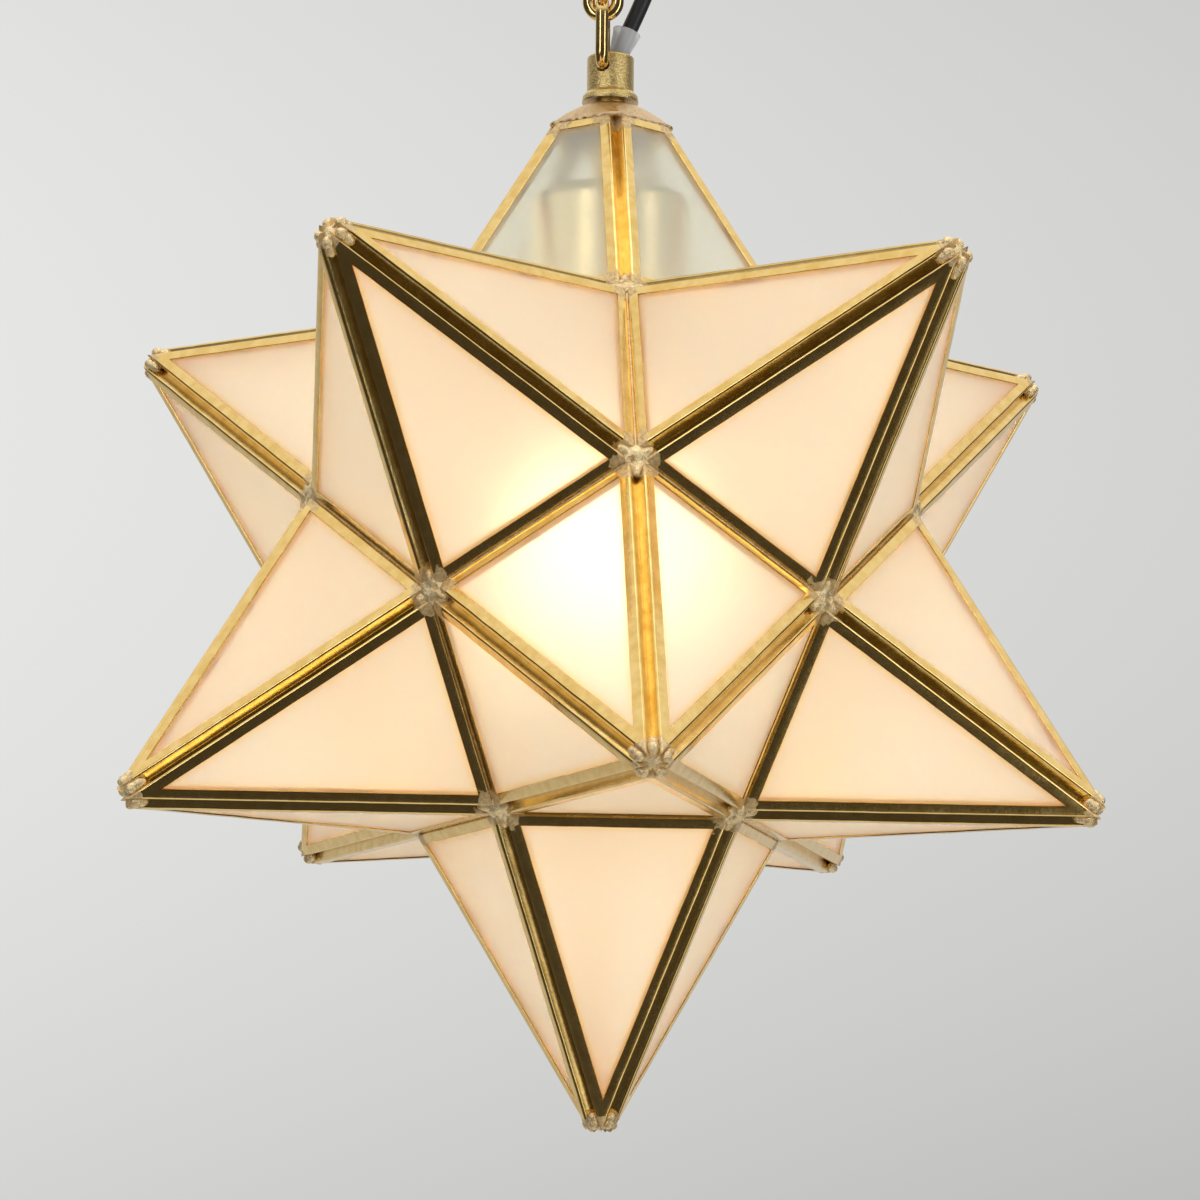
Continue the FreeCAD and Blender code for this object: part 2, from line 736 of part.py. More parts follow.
# ---------------------------------------------------------------- chain and loop
def link_body(name):
    """Round-wire link in the XZ plane, its middle at the origin."""
    bend = "(link_wide - link_wire) / 2"
    straight = "link_long - link_wide"
    parts = []
    for index, side in enumerate((1, -1)):
        half = doc.addObject("Part::Torus", f"{name}_bend_{index}")
        half.setExpression("Radius1", bound(bend))
        half.setExpression("Radius2", bound("link_wire / 2"))
        half.Angle3 = 180
        half.Placement = (move(0, 0, side * size(straight) / 2)
                          * turn_about(X_AXIS, 90 * side))
        leg = cylinder(f"{name}_leg_{index}", "link_wire / 2", straight)
        leg.Placement = move(side * size(bend), 0, -size(straight) / 2)
        parts += [half, leg]
    return joined(name, parts)


def make_chain():
    upper = link_body("upper_link_wire")
    upper.Placement = CHAIN_PLACE * move(0, 0, size("upper_link_z + link_reach / 2"))
    lower = link_body("lower_link_wire")
    lower.Placement = (CHAIN_PLACE * move(0, 0, size("hook_z + link_reach / 2"))
                       * turn_about(Z_AXIS, 90))
    as_node(upper, "upper_link")
    as_node(lower, "lower_link")


def make_loop():
    ring = doc.addObject("Part::Torus", "loop_ring")
    ring.setExpression("Radius1", bound("loop_radius"))
    ring.setExpression("Radius2", bound("link_wire / 2"))
    ring.Placement = (CHAIN_PLACE * move(0, 0, size("loop_centre_z"))
                      * turn_about(Y_AXIS, 90))
    hub = turned("loop_hub", [
        ("0", "hub_foot_z - link_wire / 4"),
        ("loop_hub_radius * 0.6", "hub_foot_z - link_wire / 4"),
        ("loop_hub_radius", "hub_foot_z + link_wire"),
        ("loop_hub_radius", "canopy_foot_z - thread_play"),
        ("nipple_radius + thread_play", "canopy_foot_z - thread_play"),
        ("nipple_radius + thread_play", "hub_foot_z + link_wire"),
        ("0", "hub_foot_z + link_wire"),
    ])
    hub.Placement = move(0, 0, -size("ceiling_z"))
    as_node(joined("loop_body", [ring, hub]), "canopy_loop")


# ---------------------------------------------------------------- cable and sleeve
# Route in the chain frame's directions, from the stem's axis: right, back, and height
# above the star's middle. The two stretches meet beside the upper link.
LOWER_ROUTE = [
    (0.5, 0.4, 165.6),
    (2.5, 1.3, 174.6),
    (5.4, 1.9, 183.2),
    (9.4, 2.6, 192.4),
    (11.2, 2.95, 197.2),
]
UPPER_ROUTE = [
    (11.22, 2.954, 197.25),
    (13.62, 3.42, 203.65),
    (15.9, 3.7, 213.0),
    (16.3, 3.6, 224.5),
    (16.3, 3.7, 236.0),
]


def route_point(spot):
    """Route point -> row frame."""
    aside, back, high = spot
    level = chain_to_star(aside, back)
    return STAR_PLACE.multVec(Vector(level.x, level.y, high))


def rounded_path(points):
    """Straight runs joined by tangent arcs, with the length and the arcs' radii."""
    edges = []
    radii = []
    start = points[0]
    for before, corner, after in zip(points, points[1:], points[2:]):
        into = (corner - before).normalize()
        away = (after - corner).normalize()
        turn = into.getAngle(away)
        reach = 0.45 * min((corner - before).Length, (after - corner).Length)
        radii.append(reach / math.tan(turn / 2))
        first = corner - into * reach
        last = corner + away * reach
        middle_way = (away - into).normalize()
        sag = radii[-1] / math.cos(turn / 2) - radii[-1]
        edges.append(Part.LineSegment(start, first).toShape())
        edges.append(Part.Arc(first, corner + middle_way * sag, last).toShape())
        start = last
    edges.append(Part.LineSegment(start, points[-1]).toShape())
    return Part.Wire(edges), radii


def tube(name, points):
    path, radii = rounded_path(points)
    section = Part.Wire(Part.makeCircle(size("cable_radius"), points[0],
                                        points[1] - points[0]))
    part = doc.addObject("Part::Feature", name)
    part.Shape = path.makePipeShell([section], True, False)
    full = math.pi * size("cable_radius") ** 2 * path.Length
    print(name, "length", round(path.Length, 2), "volume share",
          round(part.Shape.Volume / full, 4), "radii", [round(radius, 1) for radius in radii])
    return part


def make_cable():
    as_node(tube("lower_tube", [route_point(spot) for spot in LOWER_ROUTE]), "cable_lower")
    as_node(tube("upper_tube", [route_point(spot) for spot in UPPER_ROUTE]), "cable_upper")
    aside, back, foot = LOWER_ROUTE[0]
    level = chain_to_star(aside, back)
    tail = cylinder("tail_tube", "cable_radius", f"{foot} - 0.75 - nipple_foot_z")
    tail.Placement = STAR_PLACE * move(level.x, level.y, size("nipple_foot_z"))
    as_node(tail, "cable_tail")


def make_sleeve():
    """Clear flared sleeve round the cable, its foot in the stem's mouth."""
    sleeve = turned("sleeve_body", [
        ("sleeve_foot_radius", "0"),
        ("sleeve_mouth_radius", "sleeve_long"),
        ("sleeve_mouth_radius - sleeve_wall", "sleeve_long"),
        ("sleeve_foot_radius - sleeve_wall / 2", "0"),
    ])
    way = (Vector(*LOWER_ROUTE[2]) - Vector(*LOWER_ROUTE[1])).normalize()
    foot = Vector(*LOWER_ROUTE[1]) + way * size("sleeve_lift")
    level = chain_to_star(foot.x, foot.y)
    sleeve.Placement = (STAR_PLACE * move(level.x, level.y, foot.z)
                        * turn_about(Z_AXIS, size("chain_turn")
                                     + math.degrees(math.atan2(way.y, way.x)))
                        * turn_about(Y_AXIS, size("sleeve_lean")))
    as_node(sleeve, "cable_sleeve")


# ---------------------------------------------------------------- ceiling fitting
def cable_spot():
    """Where the cable goes into the canopy, in the row frame."""
    return route_point(UPPER_ROUTE[-1])


def make_canopy():
    foot, rim = "-canopy_high", "0"
    canopy = turned("canopy_dish", [
        ("nipple_radius + thread_play", foot),
        ("canopy_radius", foot),
        ("canopy_radius", rim),
        ("canopy_radius - canopy_sheet", rim),
        ("canopy_radius - canopy_sheet", f"{foot} + canopy_sheet"),
        ("nipple_radius + thread_play", f"{foot} + canopy_sheet"),
    ])
    round_edge(canopy, "canopy_shoulder", "canopy_radius", foot, "canopy_round")
    round_edge(canopy, "canopy_shoulder_inside", "canopy_radius - canopy_sheet",
               f"{foot} + canopy_sheet", "canopy_round - canopy_sheet")
    spot = cable_spot()
    hole = cylinder("canopy_cable_hole", "bush_radius - 1", "canopy_high")
    hole.Placement = move(spot.x, spot.y, size("-canopy_high * 1.5"))
    as_node(cut_from("canopy_drilled", canopy, hole), "canopy")

    middle = size("-canopy_high + canopy_sheet / 2")
    bush = turned("bush_body", [
        ("cable_radius + 0.1", "-bush_high / 2"),
        ("bush_radius * 0.85", "-bush_high / 2"),
        ("bush_radius", "-bush_high / 4"),
        ("bush_radius", "-canopy_sheet / 2 - 0.05"),
        ("bush_radius - 1.05", "-canopy_sheet / 2 - 0.05"),
        ("bush_radius - 1.05", "canopy_sheet / 2 + 0.05"),
        ("bush_radius", "canopy_sheet / 2 + 0.05"),
        ("bush_radius", "bush_high / 2"),
        ("cable_radius + 0.1", "bush_high / 2"),
    ])
    bush.Placement = move(spot.x, spot.y, middle)
    as_node(bush, "cable_bush")


def make_ceiling_bar():
    """Flat bar held to the ceiling by two screws through its slots, with a threaded boss."""
    strip = slab("bar_strip", [
        ("-bar_long / 2", "-bar_wide / 2"),
        ("bar_long / 2", "-bar_wide / 2"),
        ("bar_long / 2", "bar_wide / 2"),
        ("-bar_long / 2", "bar_wide / 2"),
    ], "bar_thick")
    strip.Placement = move(0, 0, -size("bar_thick") / 2)
    boss = cylinder("bar_boss", "boss_radius", "boss_high + bar_thick / 2")
    boss.Placement = move(0, 0, -size("bar_thick + boss_high"))
    thread = cylinder("bar_thread", "nipple_radius + thread_play", "boss_high * 2")
    thread.Placement = move(0, 0, -size("bar_thick + boss_high * 2"))
    cutters = [thread]
    straight = "bar_slot_long - 2 * bar_slot_radius"
    for side in (1, -1):
        middle = side * size("bar_slot_spacing") / 2
        run = box(f"slot_run_{side + 1}", straight, "bar_slot_radius * 2", "bar_thick * 3")
        run.Placement = move(middle - size(straight) / 2, -size("bar_slot_radius"),
                             -size("bar_thick") * 2)
        cutters.append(run)
        for end in (1, -1):
            cap = cylinder(f"slot_end_{side + 1}_{end + 1}", "bar_slot_radius",
                           "bar_thick * 3")
            cap.Placement = move(middle + end * size(straight) / 2, 0,
                                 -size("bar_thick") * 2)
            cutters.append(cap)
    body = joined("bar_body", [strip, boss])
    as_node(cut_from("bar_drilled", body, joined("bar_cutters", cutters)), "ceiling_bar")


def make_canopy_nipple():
    foot = "-canopy_high - loop_hub_high + link_wire + 0.2"
    head = "-bar_thick - 0.3"
    nipple = turned("canopy_nipple_tube", [
        ("nipple_bore_radius", foot),
        ("nipple_radius", foot),
        ("nipple_radius", head),
        ("nipple_bore_radius", head),
    ])
    as_node(nipple, "canopy_nipple")
    nut = hex_nut("canopy_locknut")
    heights = [size("-canopy_high + canopy_sheet + thread_play"),
               size("-bar_thick - boss_high - nut_thick + thread_play")]
    copies = [copy_of(nut, f"canopy_nut_{index}", move(0, 0, height))
              for index, height in enumerate(heights)]
    as_node(grouped("canopy_nut_set", copies), "canopy_locknuts")


# ---------------------------------------------------------------- build and write
def write_parts():
    doc.recompute()
    for item in doc.Objects:
        if "Invalid" in item.State or "Error" in item.State:
            raise RuntimeError(f"{item.Name} failed: {item.State}")
    os.makedirs("parts", exist_ok=True)
    for part in nodes:
        shape = part.Shape
        if shape.isNull() or not shape.isValid() or not shape.Solids:
            raise RuntimeError(f"{part.Label} has no sound shape")
        shape.exportStep(f"parts/{part.Label}.step")
        print(part.Label, len(shape.Solids), round(shape.Volume, 1))


make_points()
make_solder()
make_hinge()
make_cap()
make_stem()
make_nipple()
make_nuts()
make_cup()
make_holder()
make_bulb()
make_chain()
make_loop()
make_cable()
make_sleeve()
make_canopy()
make_ceiling_bar()
make_canopy_nipple()
write_parts()
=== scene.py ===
"""Looks of the glass star pendant, built on its CAD frame. Metres, +Z up, front is -Y."""

import math

import bpy
import bmesh
from mathutils import Matrix, Vector, noise


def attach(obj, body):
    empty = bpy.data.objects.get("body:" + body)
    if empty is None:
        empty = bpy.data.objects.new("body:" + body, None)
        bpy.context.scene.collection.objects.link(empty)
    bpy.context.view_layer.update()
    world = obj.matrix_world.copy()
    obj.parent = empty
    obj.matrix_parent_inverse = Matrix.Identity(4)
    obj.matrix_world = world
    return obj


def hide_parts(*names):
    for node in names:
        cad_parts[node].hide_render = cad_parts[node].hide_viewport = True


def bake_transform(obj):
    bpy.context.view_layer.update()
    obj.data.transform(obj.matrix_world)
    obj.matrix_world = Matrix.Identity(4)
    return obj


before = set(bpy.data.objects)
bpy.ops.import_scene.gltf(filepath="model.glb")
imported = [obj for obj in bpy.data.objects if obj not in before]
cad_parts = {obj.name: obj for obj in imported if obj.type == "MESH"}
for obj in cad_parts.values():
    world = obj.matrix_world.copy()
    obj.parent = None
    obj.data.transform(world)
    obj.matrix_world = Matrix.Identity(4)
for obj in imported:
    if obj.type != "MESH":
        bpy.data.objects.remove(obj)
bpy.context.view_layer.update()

MM = 0.001

# ------------------------------------------------------------ sizes, as the frame has them (mm)
STAR_EDGE = 74.0
CAME_WIDTH = 4.0
CAME_DEPTH = 3.6
CAME_SHEET = 0.45
SEAM_LAP = 0.14
SEAM_GAP = 0.05
DOOR_GAP = 0.45
GOLDEN = (1 + math.sqrt(5)) / 2
FACE_TILT = math.degrees(math.atan(2))
RIDGE_HALF = math.degrees(math.atan(GOLDEN))
FACE_Z = STAR_EDGE * 0.5 * GOLDEN ** 2.5 / 5 ** 0.25
FACE_INRADIUS = STAR_EDGE * 0.5 / math.tan(math.radians(36))
FACE_CIRCUMRADIUS = STAR_EDGE * 0.5 / math.sin(math.radians(36))
RIDGE_INSET = CAME_WIDTH / math.tan(math.radians(RIDGE_HALF)) + SEAM_GAP
FULL_APEX_Z = FACE_Z + 2 * FACE_INRADIUS
TOP_CUT_RADIUS = 21.7
TOP_CUT_Z = FULL_APEX_Z - TOP_CUT_RADIUS * GOLDEN
TOP_CUT_SLOPE = (TOP_CUT_Z - FACE_Z) / math.sin(math.radians(FACE_TILT))
CAP_Z = TOP_CUT_Z + SEAM_GAP
CAP_RADIUS = 19.4
CAP_RISE = 9.4
NIPPLE_HOLE = 5.1
STEM_FOOT_Z = CAP_Z + CAP_RISE
STEM_TOP_Z = STEM_FOOT_Z + 17.1
HOOK_Z = STEM_TOP_Z - 5.8
LINK_WIRE = 4.2
LINK_WIDE = 13.6
LINK_LONG = 25.4
LINK_REACH = LINK_LONG - LINK_WIRE
LINK_STEP = LINK_WIRE + 0.05
UPPER_LINK_Z = HOOK_Z + LINK_REACH - LINK_STEP
LOOP_RADIUS = 8.6
LOOP_SHANK = 8.0
CANOPY_HIGH = 27.0
LOOP_CENTRE_Z = UPPER_LINK_Z + LINK_REACH - LINK_STEP + LOOP_RADIUS
CEILING_Z = LOOP_CENTRE_Z + LOOP_RADIUS + LOOP_SHANK + CANOPY_HIGH
WIRE_SIDES = 28
CHAIN_TURN = -9.0
HOOK_ASIDE = -2.2
HOOK_BACK = -6.2


def turn(axis, degrees):
    return Matrix.Rotation(math.radians(degrees), 4, axis)


def shift(across, deep, high):
    return Matrix.Translation((across, deep, high))


def chain_level(aside, back):
    """Offsets to the chain's right and back -> the star frame's X and Y."""
    return turn("Z", CHAIN_TURN) @ Vector((aside, back, 0))


HOOK = chain_level(HOOK_ASIDE, HOOK_BACK)
STAR = shift(-HOOK.x, -HOOK.y, -CEILING_Z)
CHAIN = shift(0, 0, -CEILING_Z) @ turn("Z", CHAIN_TURN)

POINTS = {"top": Matrix()}
for number in range(5):
    POINTS[f"upper_{number + 1}"] = turn("Z", 36 + 72 * number) @ turn("X", FACE_TILT)
    POINTS[f"lower_{number + 1}"] = (turn("Z", 72 * number) @ turn("X", 180 - FACE_TILT)
                                     @ turn("Z", 180))
POINTS["bottom"] = turn("X", 180)
DOOR = "upper_3"


def body_of(point):
    return "door" if point == DOOR else "star"


# ------------------------------------------------------------ mesh helpers
def in_scene(name, data):
    """New object in the scene, unturned at the origin."""
    piece = bpy.data.objects.new(name, data)
    bpy.context.scene.collection.objects.link(piece)
    return piece


def smooth_faces(mesh, angle):
    mesh.shade_smooth()
    mesh.set_sharp_from_angle(angle=math.radians(angle))


def smooth_object(name, mesh, angle=35.0):
    smooth_faces(mesh, angle)
    return in_scene(name, mesh)


def outward(shape):
    bmesh.ops.remove_doubles(shape, verts=shape.verts, dist=1e-4)
    bmesh.ops.recalc_face_normals(shape, faces=shape.faces)


def plain_mesh(name, shape):
    mesh = bpy.data.meshes.new(name)
    shape.to_mesh(mesh)
    shape.free()
    return mesh


def mesh_of(name, shape, place=Matrix()):
    """bmesh in millimetres -> mesh in metres, in the row frame."""
    bmesh.ops.transform(shape, matrix=Matrix.Scale(MM, 4) @ place, verts=shape.verts)
    return plain_mesh(name, shape)


def temporary(name, shape):
    """Object in millimetres for a modifier or a tree to work on."""
    return in_scene(name, plain_mesh(name, shape))


def skinned(shape, rings, closed=False):
    """Four-sided faces from each ring of vertices to the next."""
    following = rings[1:] + rings[:1] if closed else rings[1:]
    for ring, other in zip(rings, following):
        for index, vertex in enumerate(ring):
            after = (index + 1) % len(ring)
            shape.faces.new((vertex, ring[after], other[after], other[index]))


def round_section(shape, centre, across, other, radius, sides=WIRE_SIDES):
    """Ring of vertices round the centre, in the plane of two directions."""
    return [shape.verts.new(centre + (across * math.cos(2 * math.pi * side / sides)
                                      + other * math.sin(2 * math.pi * side / sides)) * radius)
            for side in range(sides)]


def lathed(name, profile, place, steps=96, angle=35.0, pull=None):
    """Ring turned from a closed profile of (radius, height) in mm; pull bends its radius."""
    shape = bmesh.new()
    rings = []
    for step in range(steps):
        way = 2 * math.pi * step / steps
        ring = []
        for radius, height in profile:
            wide = pull(way, radius, height) if pull else radius
            ring.append(shape.verts.new((wide * math.cos(way), wide * math.sin(way), height)))
        rings.append(ring)
    skinned(shape, rings, closed=True)
    outward(shape)
    return smooth_object(name, mesh_of(name, shape, place), angle)


def rounded(start, corner, end, radius, steps=6):
    """Points of a rounded corner on a profile."""
    start, corner, end = Vector(start), Vector(corner), Vector(end)
    into, away = (start - corner).normalized(), (end - corner).normalized()
    half = into.angle(away) / 2
    reach = radius / math.tan(half)
    middle = corner + (into + away).normalized() * (radius / math.sin(half))
    first, last = corner + into * reach - middle, corner + away * reach - middle
    sweep = first.angle(last)
    points = []
    for step in range(steps + 1):
        share = step / steps
        blend = (first * math.sin((1 - share) * sweep) + last * math.sin(share * sweep))
        points.append(tuple(middle + blend / math.sin(sweep)))
    return points


def evaluated(piece, name):
    """The piece with its modifiers applied, as a plain mesh."""
    graph = bpy.context.evaluated_depsgraph_get()
    mesh = bpy.data.meshes.new_from_object(piece.evaluated_get(graph))
    mesh.name = name
    return mesh


def discard(piece):
    mesh = piece.data
    bpy.data.objects.remove(piece)
    if mesh and not mesh.users:
        bpy.data.meshes.remove(mesh)


def baked(piece, modifier, name):
    """Swaps the piece's mesh for the modifier's result and takes the modifier off."""
    mesh = evaluated(piece, name)
    piece.modifiers.remove(modifier)
    old = piece.data
    piece.data = mesh
    bpy.data.meshes.remove(old)
    return mesh


def drilled(piece, radius, depth, place):
    """Cuts a round hole through the piece."""
    shape = bmesh.new()
    bmesh.ops.create_cone(shape, cap_ends=True, segments=48, radius1=radius, radius2=radius,
                          depth=depth)
    tool = in_scene("drill", mesh_of("drill", shape, place))
    cut = piece.modifiers.new("bore", "BOOLEAN")
    cut.operation = "DIFFERENCE"
    cut.solver = "EXACT"
    cut.object = tool
    mesh = baked(piece, cut, piece.name + "_drilled")
    discard(tool)
    mesh.materials.clear()
    smooth_faces(mesh, 30.0)


def settled(piece, material, body, node):
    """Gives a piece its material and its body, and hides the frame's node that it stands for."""
    piece.data.materials.append(material)
    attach(piece, body)
    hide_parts(node)


def wavy(point, scale, amount, seed=0.0):
    """Smooth hand-made unevenness at a point, in millimetres."""
    return noise.noise(Vector(point) * scale + Vector((seed, seed * 1.7, 0))) * amount


# ------------------------------------------------------------ materials
def new_material(name):
    material = bpy.data.materials.new(name)
    material.use_nodes = True
    tree = material.node_tree
    return material, tree, tree.nodes["Principled BSDF"]


def add(tree, kind, **settings):
    node = tree.nodes.new(kind)
    for key, value in settings.items():
        setattr(node, key, value)
    return node


def link(tree, output, entry):
    tree.links.new(output, entry)


def feed(tree, entry, value):
    """Links a socket to the entry, or writes a constant into it."""
    if isinstance(value, bpy.types.NodeSocket):
        link(tree, value, entry)
    else:
        entry.default_value = value


def computed(tree, operation, *values):
    node = add(tree, "ShaderNodeMath", operation=operation)
    for entry, value in zip(node.inputs, values):
        feed(tree, entry, value)
    return node.outputs[0]


def computed_vector(tree, operation, output, *values):
    node = add(tree, "ShaderNodeVectorMath", operation=operation)
    for entry, value in zip(node.inputs, values):
        feed(tree, entry, value)
    return node.outputs[output]


def ramp(tree, source, stops):
    node = add(tree, "ShaderNodeValToRGB")
    while len(node.color_ramp.elements) < len(stops):
        node.color_ramp.elements.new(0.5)
    for element, (place, colour) in zip(node.color_ramp.elements, stops):
        element.position = place
        element.color = (*colour, 1.0)
    link(tree, source, node.inputs[0])
    return node.outputs["Color"]


def mapped(tree, source, low, high, to_low=0.0, to_high=1.0):
    node = add(tree, "ShaderNodeMapRange")
    link(tree, source, node.inputs["Value"])
    for key, value in (("From Min", low), ("From Max", high), ("To Min", to_low),
                       ("To Max", to_high)):
        node.inputs[key].default_value = value
    return node.outputs["Result"]


def mixed(tree, factor, first, second):
    """Mix of two colours, each a socket or a tuple of three."""
    node = add(tree, "ShaderNodeMix", data_type="RGBA")
    link(tree, factor, node.inputs["Factor"])
    colours = [item for item in node.inputs if item.type == "RGBA"]
    for entry, value in zip(colours, (first, second)):
        feed(tree, entry, (*value, 1.0) if isinstance(value, tuple) else value)
    return [item for item in node.outputs if item.type == "RGBA"][0]


def grain(tree, scale, detail):
    texture = add(tree, "ShaderNodeTexNoise")
    texture.inputs["Scale"].default_value = scale
    texture.inputs["Detail"].default_value = detail
    link(tree, add(tree, "ShaderNodeTexCoord").outputs["Object"], texture.inputs["Vector"])
    return texture.outputs["Fac"]


def bumped(tree, shader, height, strength, distance):
    bump = add(tree, "ShaderNodeBump")
    bump.inputs["Strength"].default_value = strength
    bump.inputs["Distance"].default_value = distance
    link(tree, height, bump.inputs["Height"])
    link(tree, bump.outputs["Normal"], shader.inputs["Normal"])


def group_tree(name, entries, exits):
    tree = bpy.data.node_groups.new(name, "ShaderNodeTree")
    for label, kind in entries:
        tree.interface.new_socket(label, in_out="INPUT", socket_type=kind)
    for label, kind in exits:
        tree.interface.new_socket(label, in_out="OUTPUT", socket_type=kind)
    return tree, tree.nodes.new("NodeGroupInput"), tree.nodes.new("NodeGroupOutput")


def make_wear_and_shade_group():
    """Uneven lacquer, and the specks that the brazing paints dark as shade in its pits: cloudy
    mask, fine specks and a height, on Object coordinates.
    """
    tree, entry, leave = group_tree(
        "lacquer_wear",
        [("Cloud Scale", "NodeSocketFloat"), ("Speck Scale", "NodeSocketFloat")],
        [("Cloud", "NodeSocketFloat"), ("Speck", "NodeSocketFloat")])
    coordinates = add(tree, "ShaderNodeTexCoord").outputs["Object"]
    cloud = add(tree, "ShaderNodeTexNoise")
    cloud.inputs["Detail"].default_value = 3.0
    speck = add(tree, "ShaderNodeTexNoise")
    speck.inputs["Detail"].default_value = 5.0
    speck.inputs["Roughness"].default_value = 0.65
    for texture, scale, out in ((cloud, "Cloud Scale", "Cloud"), (speck, "Speck Scale", "Speck")):
        link(tree, coordinates, texture.inputs["Vector"])
        link(tree, entry.outputs[scale], texture.inputs["Scale"])
        link(tree, texture.outputs["Fac"], leave.inputs[out])
    return tree


LACQUER_WEAR_AND_SHADE = make_wear_and_shade_group()


def wear_and_shade(tree, cloud_scale, speck_scale):
    node = add(tree, "ShaderNodeGroup", node_tree=LACQUER_WEAR_AND_SHADE)
    node.inputs["Cloud Scale"].default_value = cloud_scale
    node.inputs["Speck Scale"].default_value = speck_scale
    return node.outputs["Cloud"], node.outputs["Speck"]


BRASS_LIGHT = (0.87, 0.63, 0.25)
BRASS_DEEP = (0.78, 0.53, 0.17)
BRAZED_PINK = (0.90, 0.68, 0.36)
BRAZED_DARK = (0.56, 0.38, 0.17)


def make_channel_brass():
    """Polished folded brass. Attribute from_joint: millimetres from the nearest brazed joint."""
    material, tree, shader = new_material("channel_brass")
    cloud, speck = wear_and_shade(tree, 230.0, 900.0)
    from_joint = add(tree, "ShaderNodeAttribute", attribute_name="from_joint").outputs["Fac"]
    brazed = mapped(tree, computed(tree, "MULTIPLY_ADD", cloud, -9.0, from_joint),
                    0.2, 0.9, 1.0, 0.0)
    plain = mixed(tree, mapped(tree, cloud, 0.35, 0.65), BRASS_LIGHT, BRASS_DEEP)
    stained = mixed(tree, mapped(tree, speck, 0.35, 0.62), BRAZED_DARK, BRAZED_PINK)
    link(tree, mixed(tree, brazed, plain, stained), shader.inputs["Base Color"])
    polish = mapped(tree, speck, 0.3, 0.7, 0.13, 0.21)
    link(tree, computed(tree, "MULTIPLY_ADD", brazed, 0.28, polish), shader.inputs["Roughness"])
    link(tree, mapped(tree, brazed, 0.0, 1.0, 1.0, 0.7), shader.inputs["Metallic"])
    bumped(tree, shader, speck, 0.12, 0.0002)
    return material


def make_brazing():
    """Satin brazing metal in beads, pinkish where it is dull and yellow where it is bright, with
    painted shade in its small pits.
    """
    material, tree, shader = new_material("brazing_metal")
    cloud, speck = wear_and_shade(tree, 300.0, 2200.0)
    colour = mixed(tree, mapped(tree, cloud, 0.38, 0.62), (0.84, 0.62, 0.33), (0.98, 0.80, 0.45))
    # Painted shade: where the specks sink into pits, the beads are painted dark brown.
    pits = mapped(tree, speck, 0.30, 0.40, 1.0, 0.0)
    link(tree, mixed(tree, pits, colour, (0.42, 0.28, 0.13)), shader.inputs["Base Color"])
    link(tree, mapped(tree, cloud, 0.3, 0.7, 0.16, 0.36), shader.inputs["Roughness"])
    shader.inputs["Metallic"].default_value = 0.74
    bumped(tree, shader, speck, 0.55, 0.0004)
    return material


def make_cast_brass(name, light, deep, roughness, fine, strength, low=0.35, high=0.65):
    """Turned or bent brass of the chain, stem and cup, with its own grain."""
    material, tree, shader = new_material(name)
    cloud, speck = wear_and_shade(tree, 90.0, fine)
    link(tree, mixed(tree, mapped(tree, speck, low, high), deep, light),
         shader.inputs["Base Color"])
    link(tree, mapped(tree, cloud, 0.3, 0.7, roughness * 0.8, roughness * 1.3),
         shader.inputs["Roughness"])
    shader.inputs["Metallic"].default_value = 1.0
    bumped(tree, shader, speck, strength, 0.0004)
    return material


def make_frosted_glass(name, see_through, roughness, painted_glow_colour, strength):
    """Acid-frosted pane with a painted glow in place of the bulb's light shining through it.
    Attribute edges: millimetres from each of its sides.
    """
    material, tree, shader = new_material(name)
    sides = add(tree, "ShaderNodeAttribute", attribute_name="edges")
    parts = add(tree, "ShaderNodeSeparateXYZ")
    link(tree, sides.outputs["Vector"], parts.inputs[0])
    near = computed(tree, "MINIMUM", parts.outputs[0], parts.outputs[1])
    near = computed(tree, "MINIMUM", near, parts.outputs[2])
    # Near its sides the pane's colour is warmer and its painted glow more orange and dimmer.
    rim = mapped(tree, near, 3.2, 6.0, 1.0, 0.0)
    cloud = grain(tree, 18.0, 2.0)
    body = mixed(tree, mapped(tree, cloud, 0.3, 0.7), (0.985, 0.965, 0.90), (0.975, 0.95, 0.875))
    link(tree, mixed(tree, rim, body, (0.98, 0.86, 0.62)), shader.inputs["Base Color"])
    # Painted light: the pane emits a glow of its own, standing in for the bulb's light shining
    # through it.
    painted_edge_glow = tuple(value * factor for value, factor in zip(painted_glow_colour, (1.0, 0.82, 0.57)))
    link(tree, mixed(tree, rim, painted_glow_colour, painted_edge_glow), shader.inputs["Emission Color"])
    for label, value in (("Emission Strength", strength), ("Roughness", roughness),
                         ("IOR", 1.35), ("Transmission Weight", see_through),
                         ("Subsurface Weight", 1.0), ("Subsurface Radius", (1.0, 0.75, 0.5)),
                         ("Subsurface Scale", 0.012)):
        shader.inputs[label].default_value = value
    return material


def make_clear_glass(name, colour, roughness, see_through=1.0):
    material, tree, shader = new_material(name)
    link(tree, mixed(tree, grain(tree, 40.0, 2.0), colour,
                     tuple(value * 0.97 for value in colour)), shader.inputs["Base Color"])
    shader.inputs["Roughness"].default_value = roughness
    shader.inputs["IOR"].default_value = 1.3
    shader.inputs["Transmission Weight"].default_value = see_through
    return material


def make_lit_bulb():
    """Opal bulb with its lamp on. Attribute above_centre: millimetres above its widest ring."""
    material, tree, shader = new_material("lit_opal_bulb")
    glow = mixed(tree, mapped(tree, grain(tree, 30.0, 1.0), 0.3, 0.7),
                 (1.0, 0.84, 0.56), (1.0, 0.81, 0.52))
    below = add(tree, "ShaderNodeAttribute", attribute_name="above_centre").outputs["Fac"]
    shade = mapped(tree, below, 12.0, 34.0)
    link(tree, mixed(tree, shade, glow, (0.10, 0.075, 0.045)), shader.inputs["Emission Color"])
    shader.inputs["Emission Strength"].default_value = 3.9
    shader.inputs["Base Color"].default_value = (0.95, 0.93, 0.88, 1.0)
    shader.inputs["Roughness"].default_value = 0.4
    return material


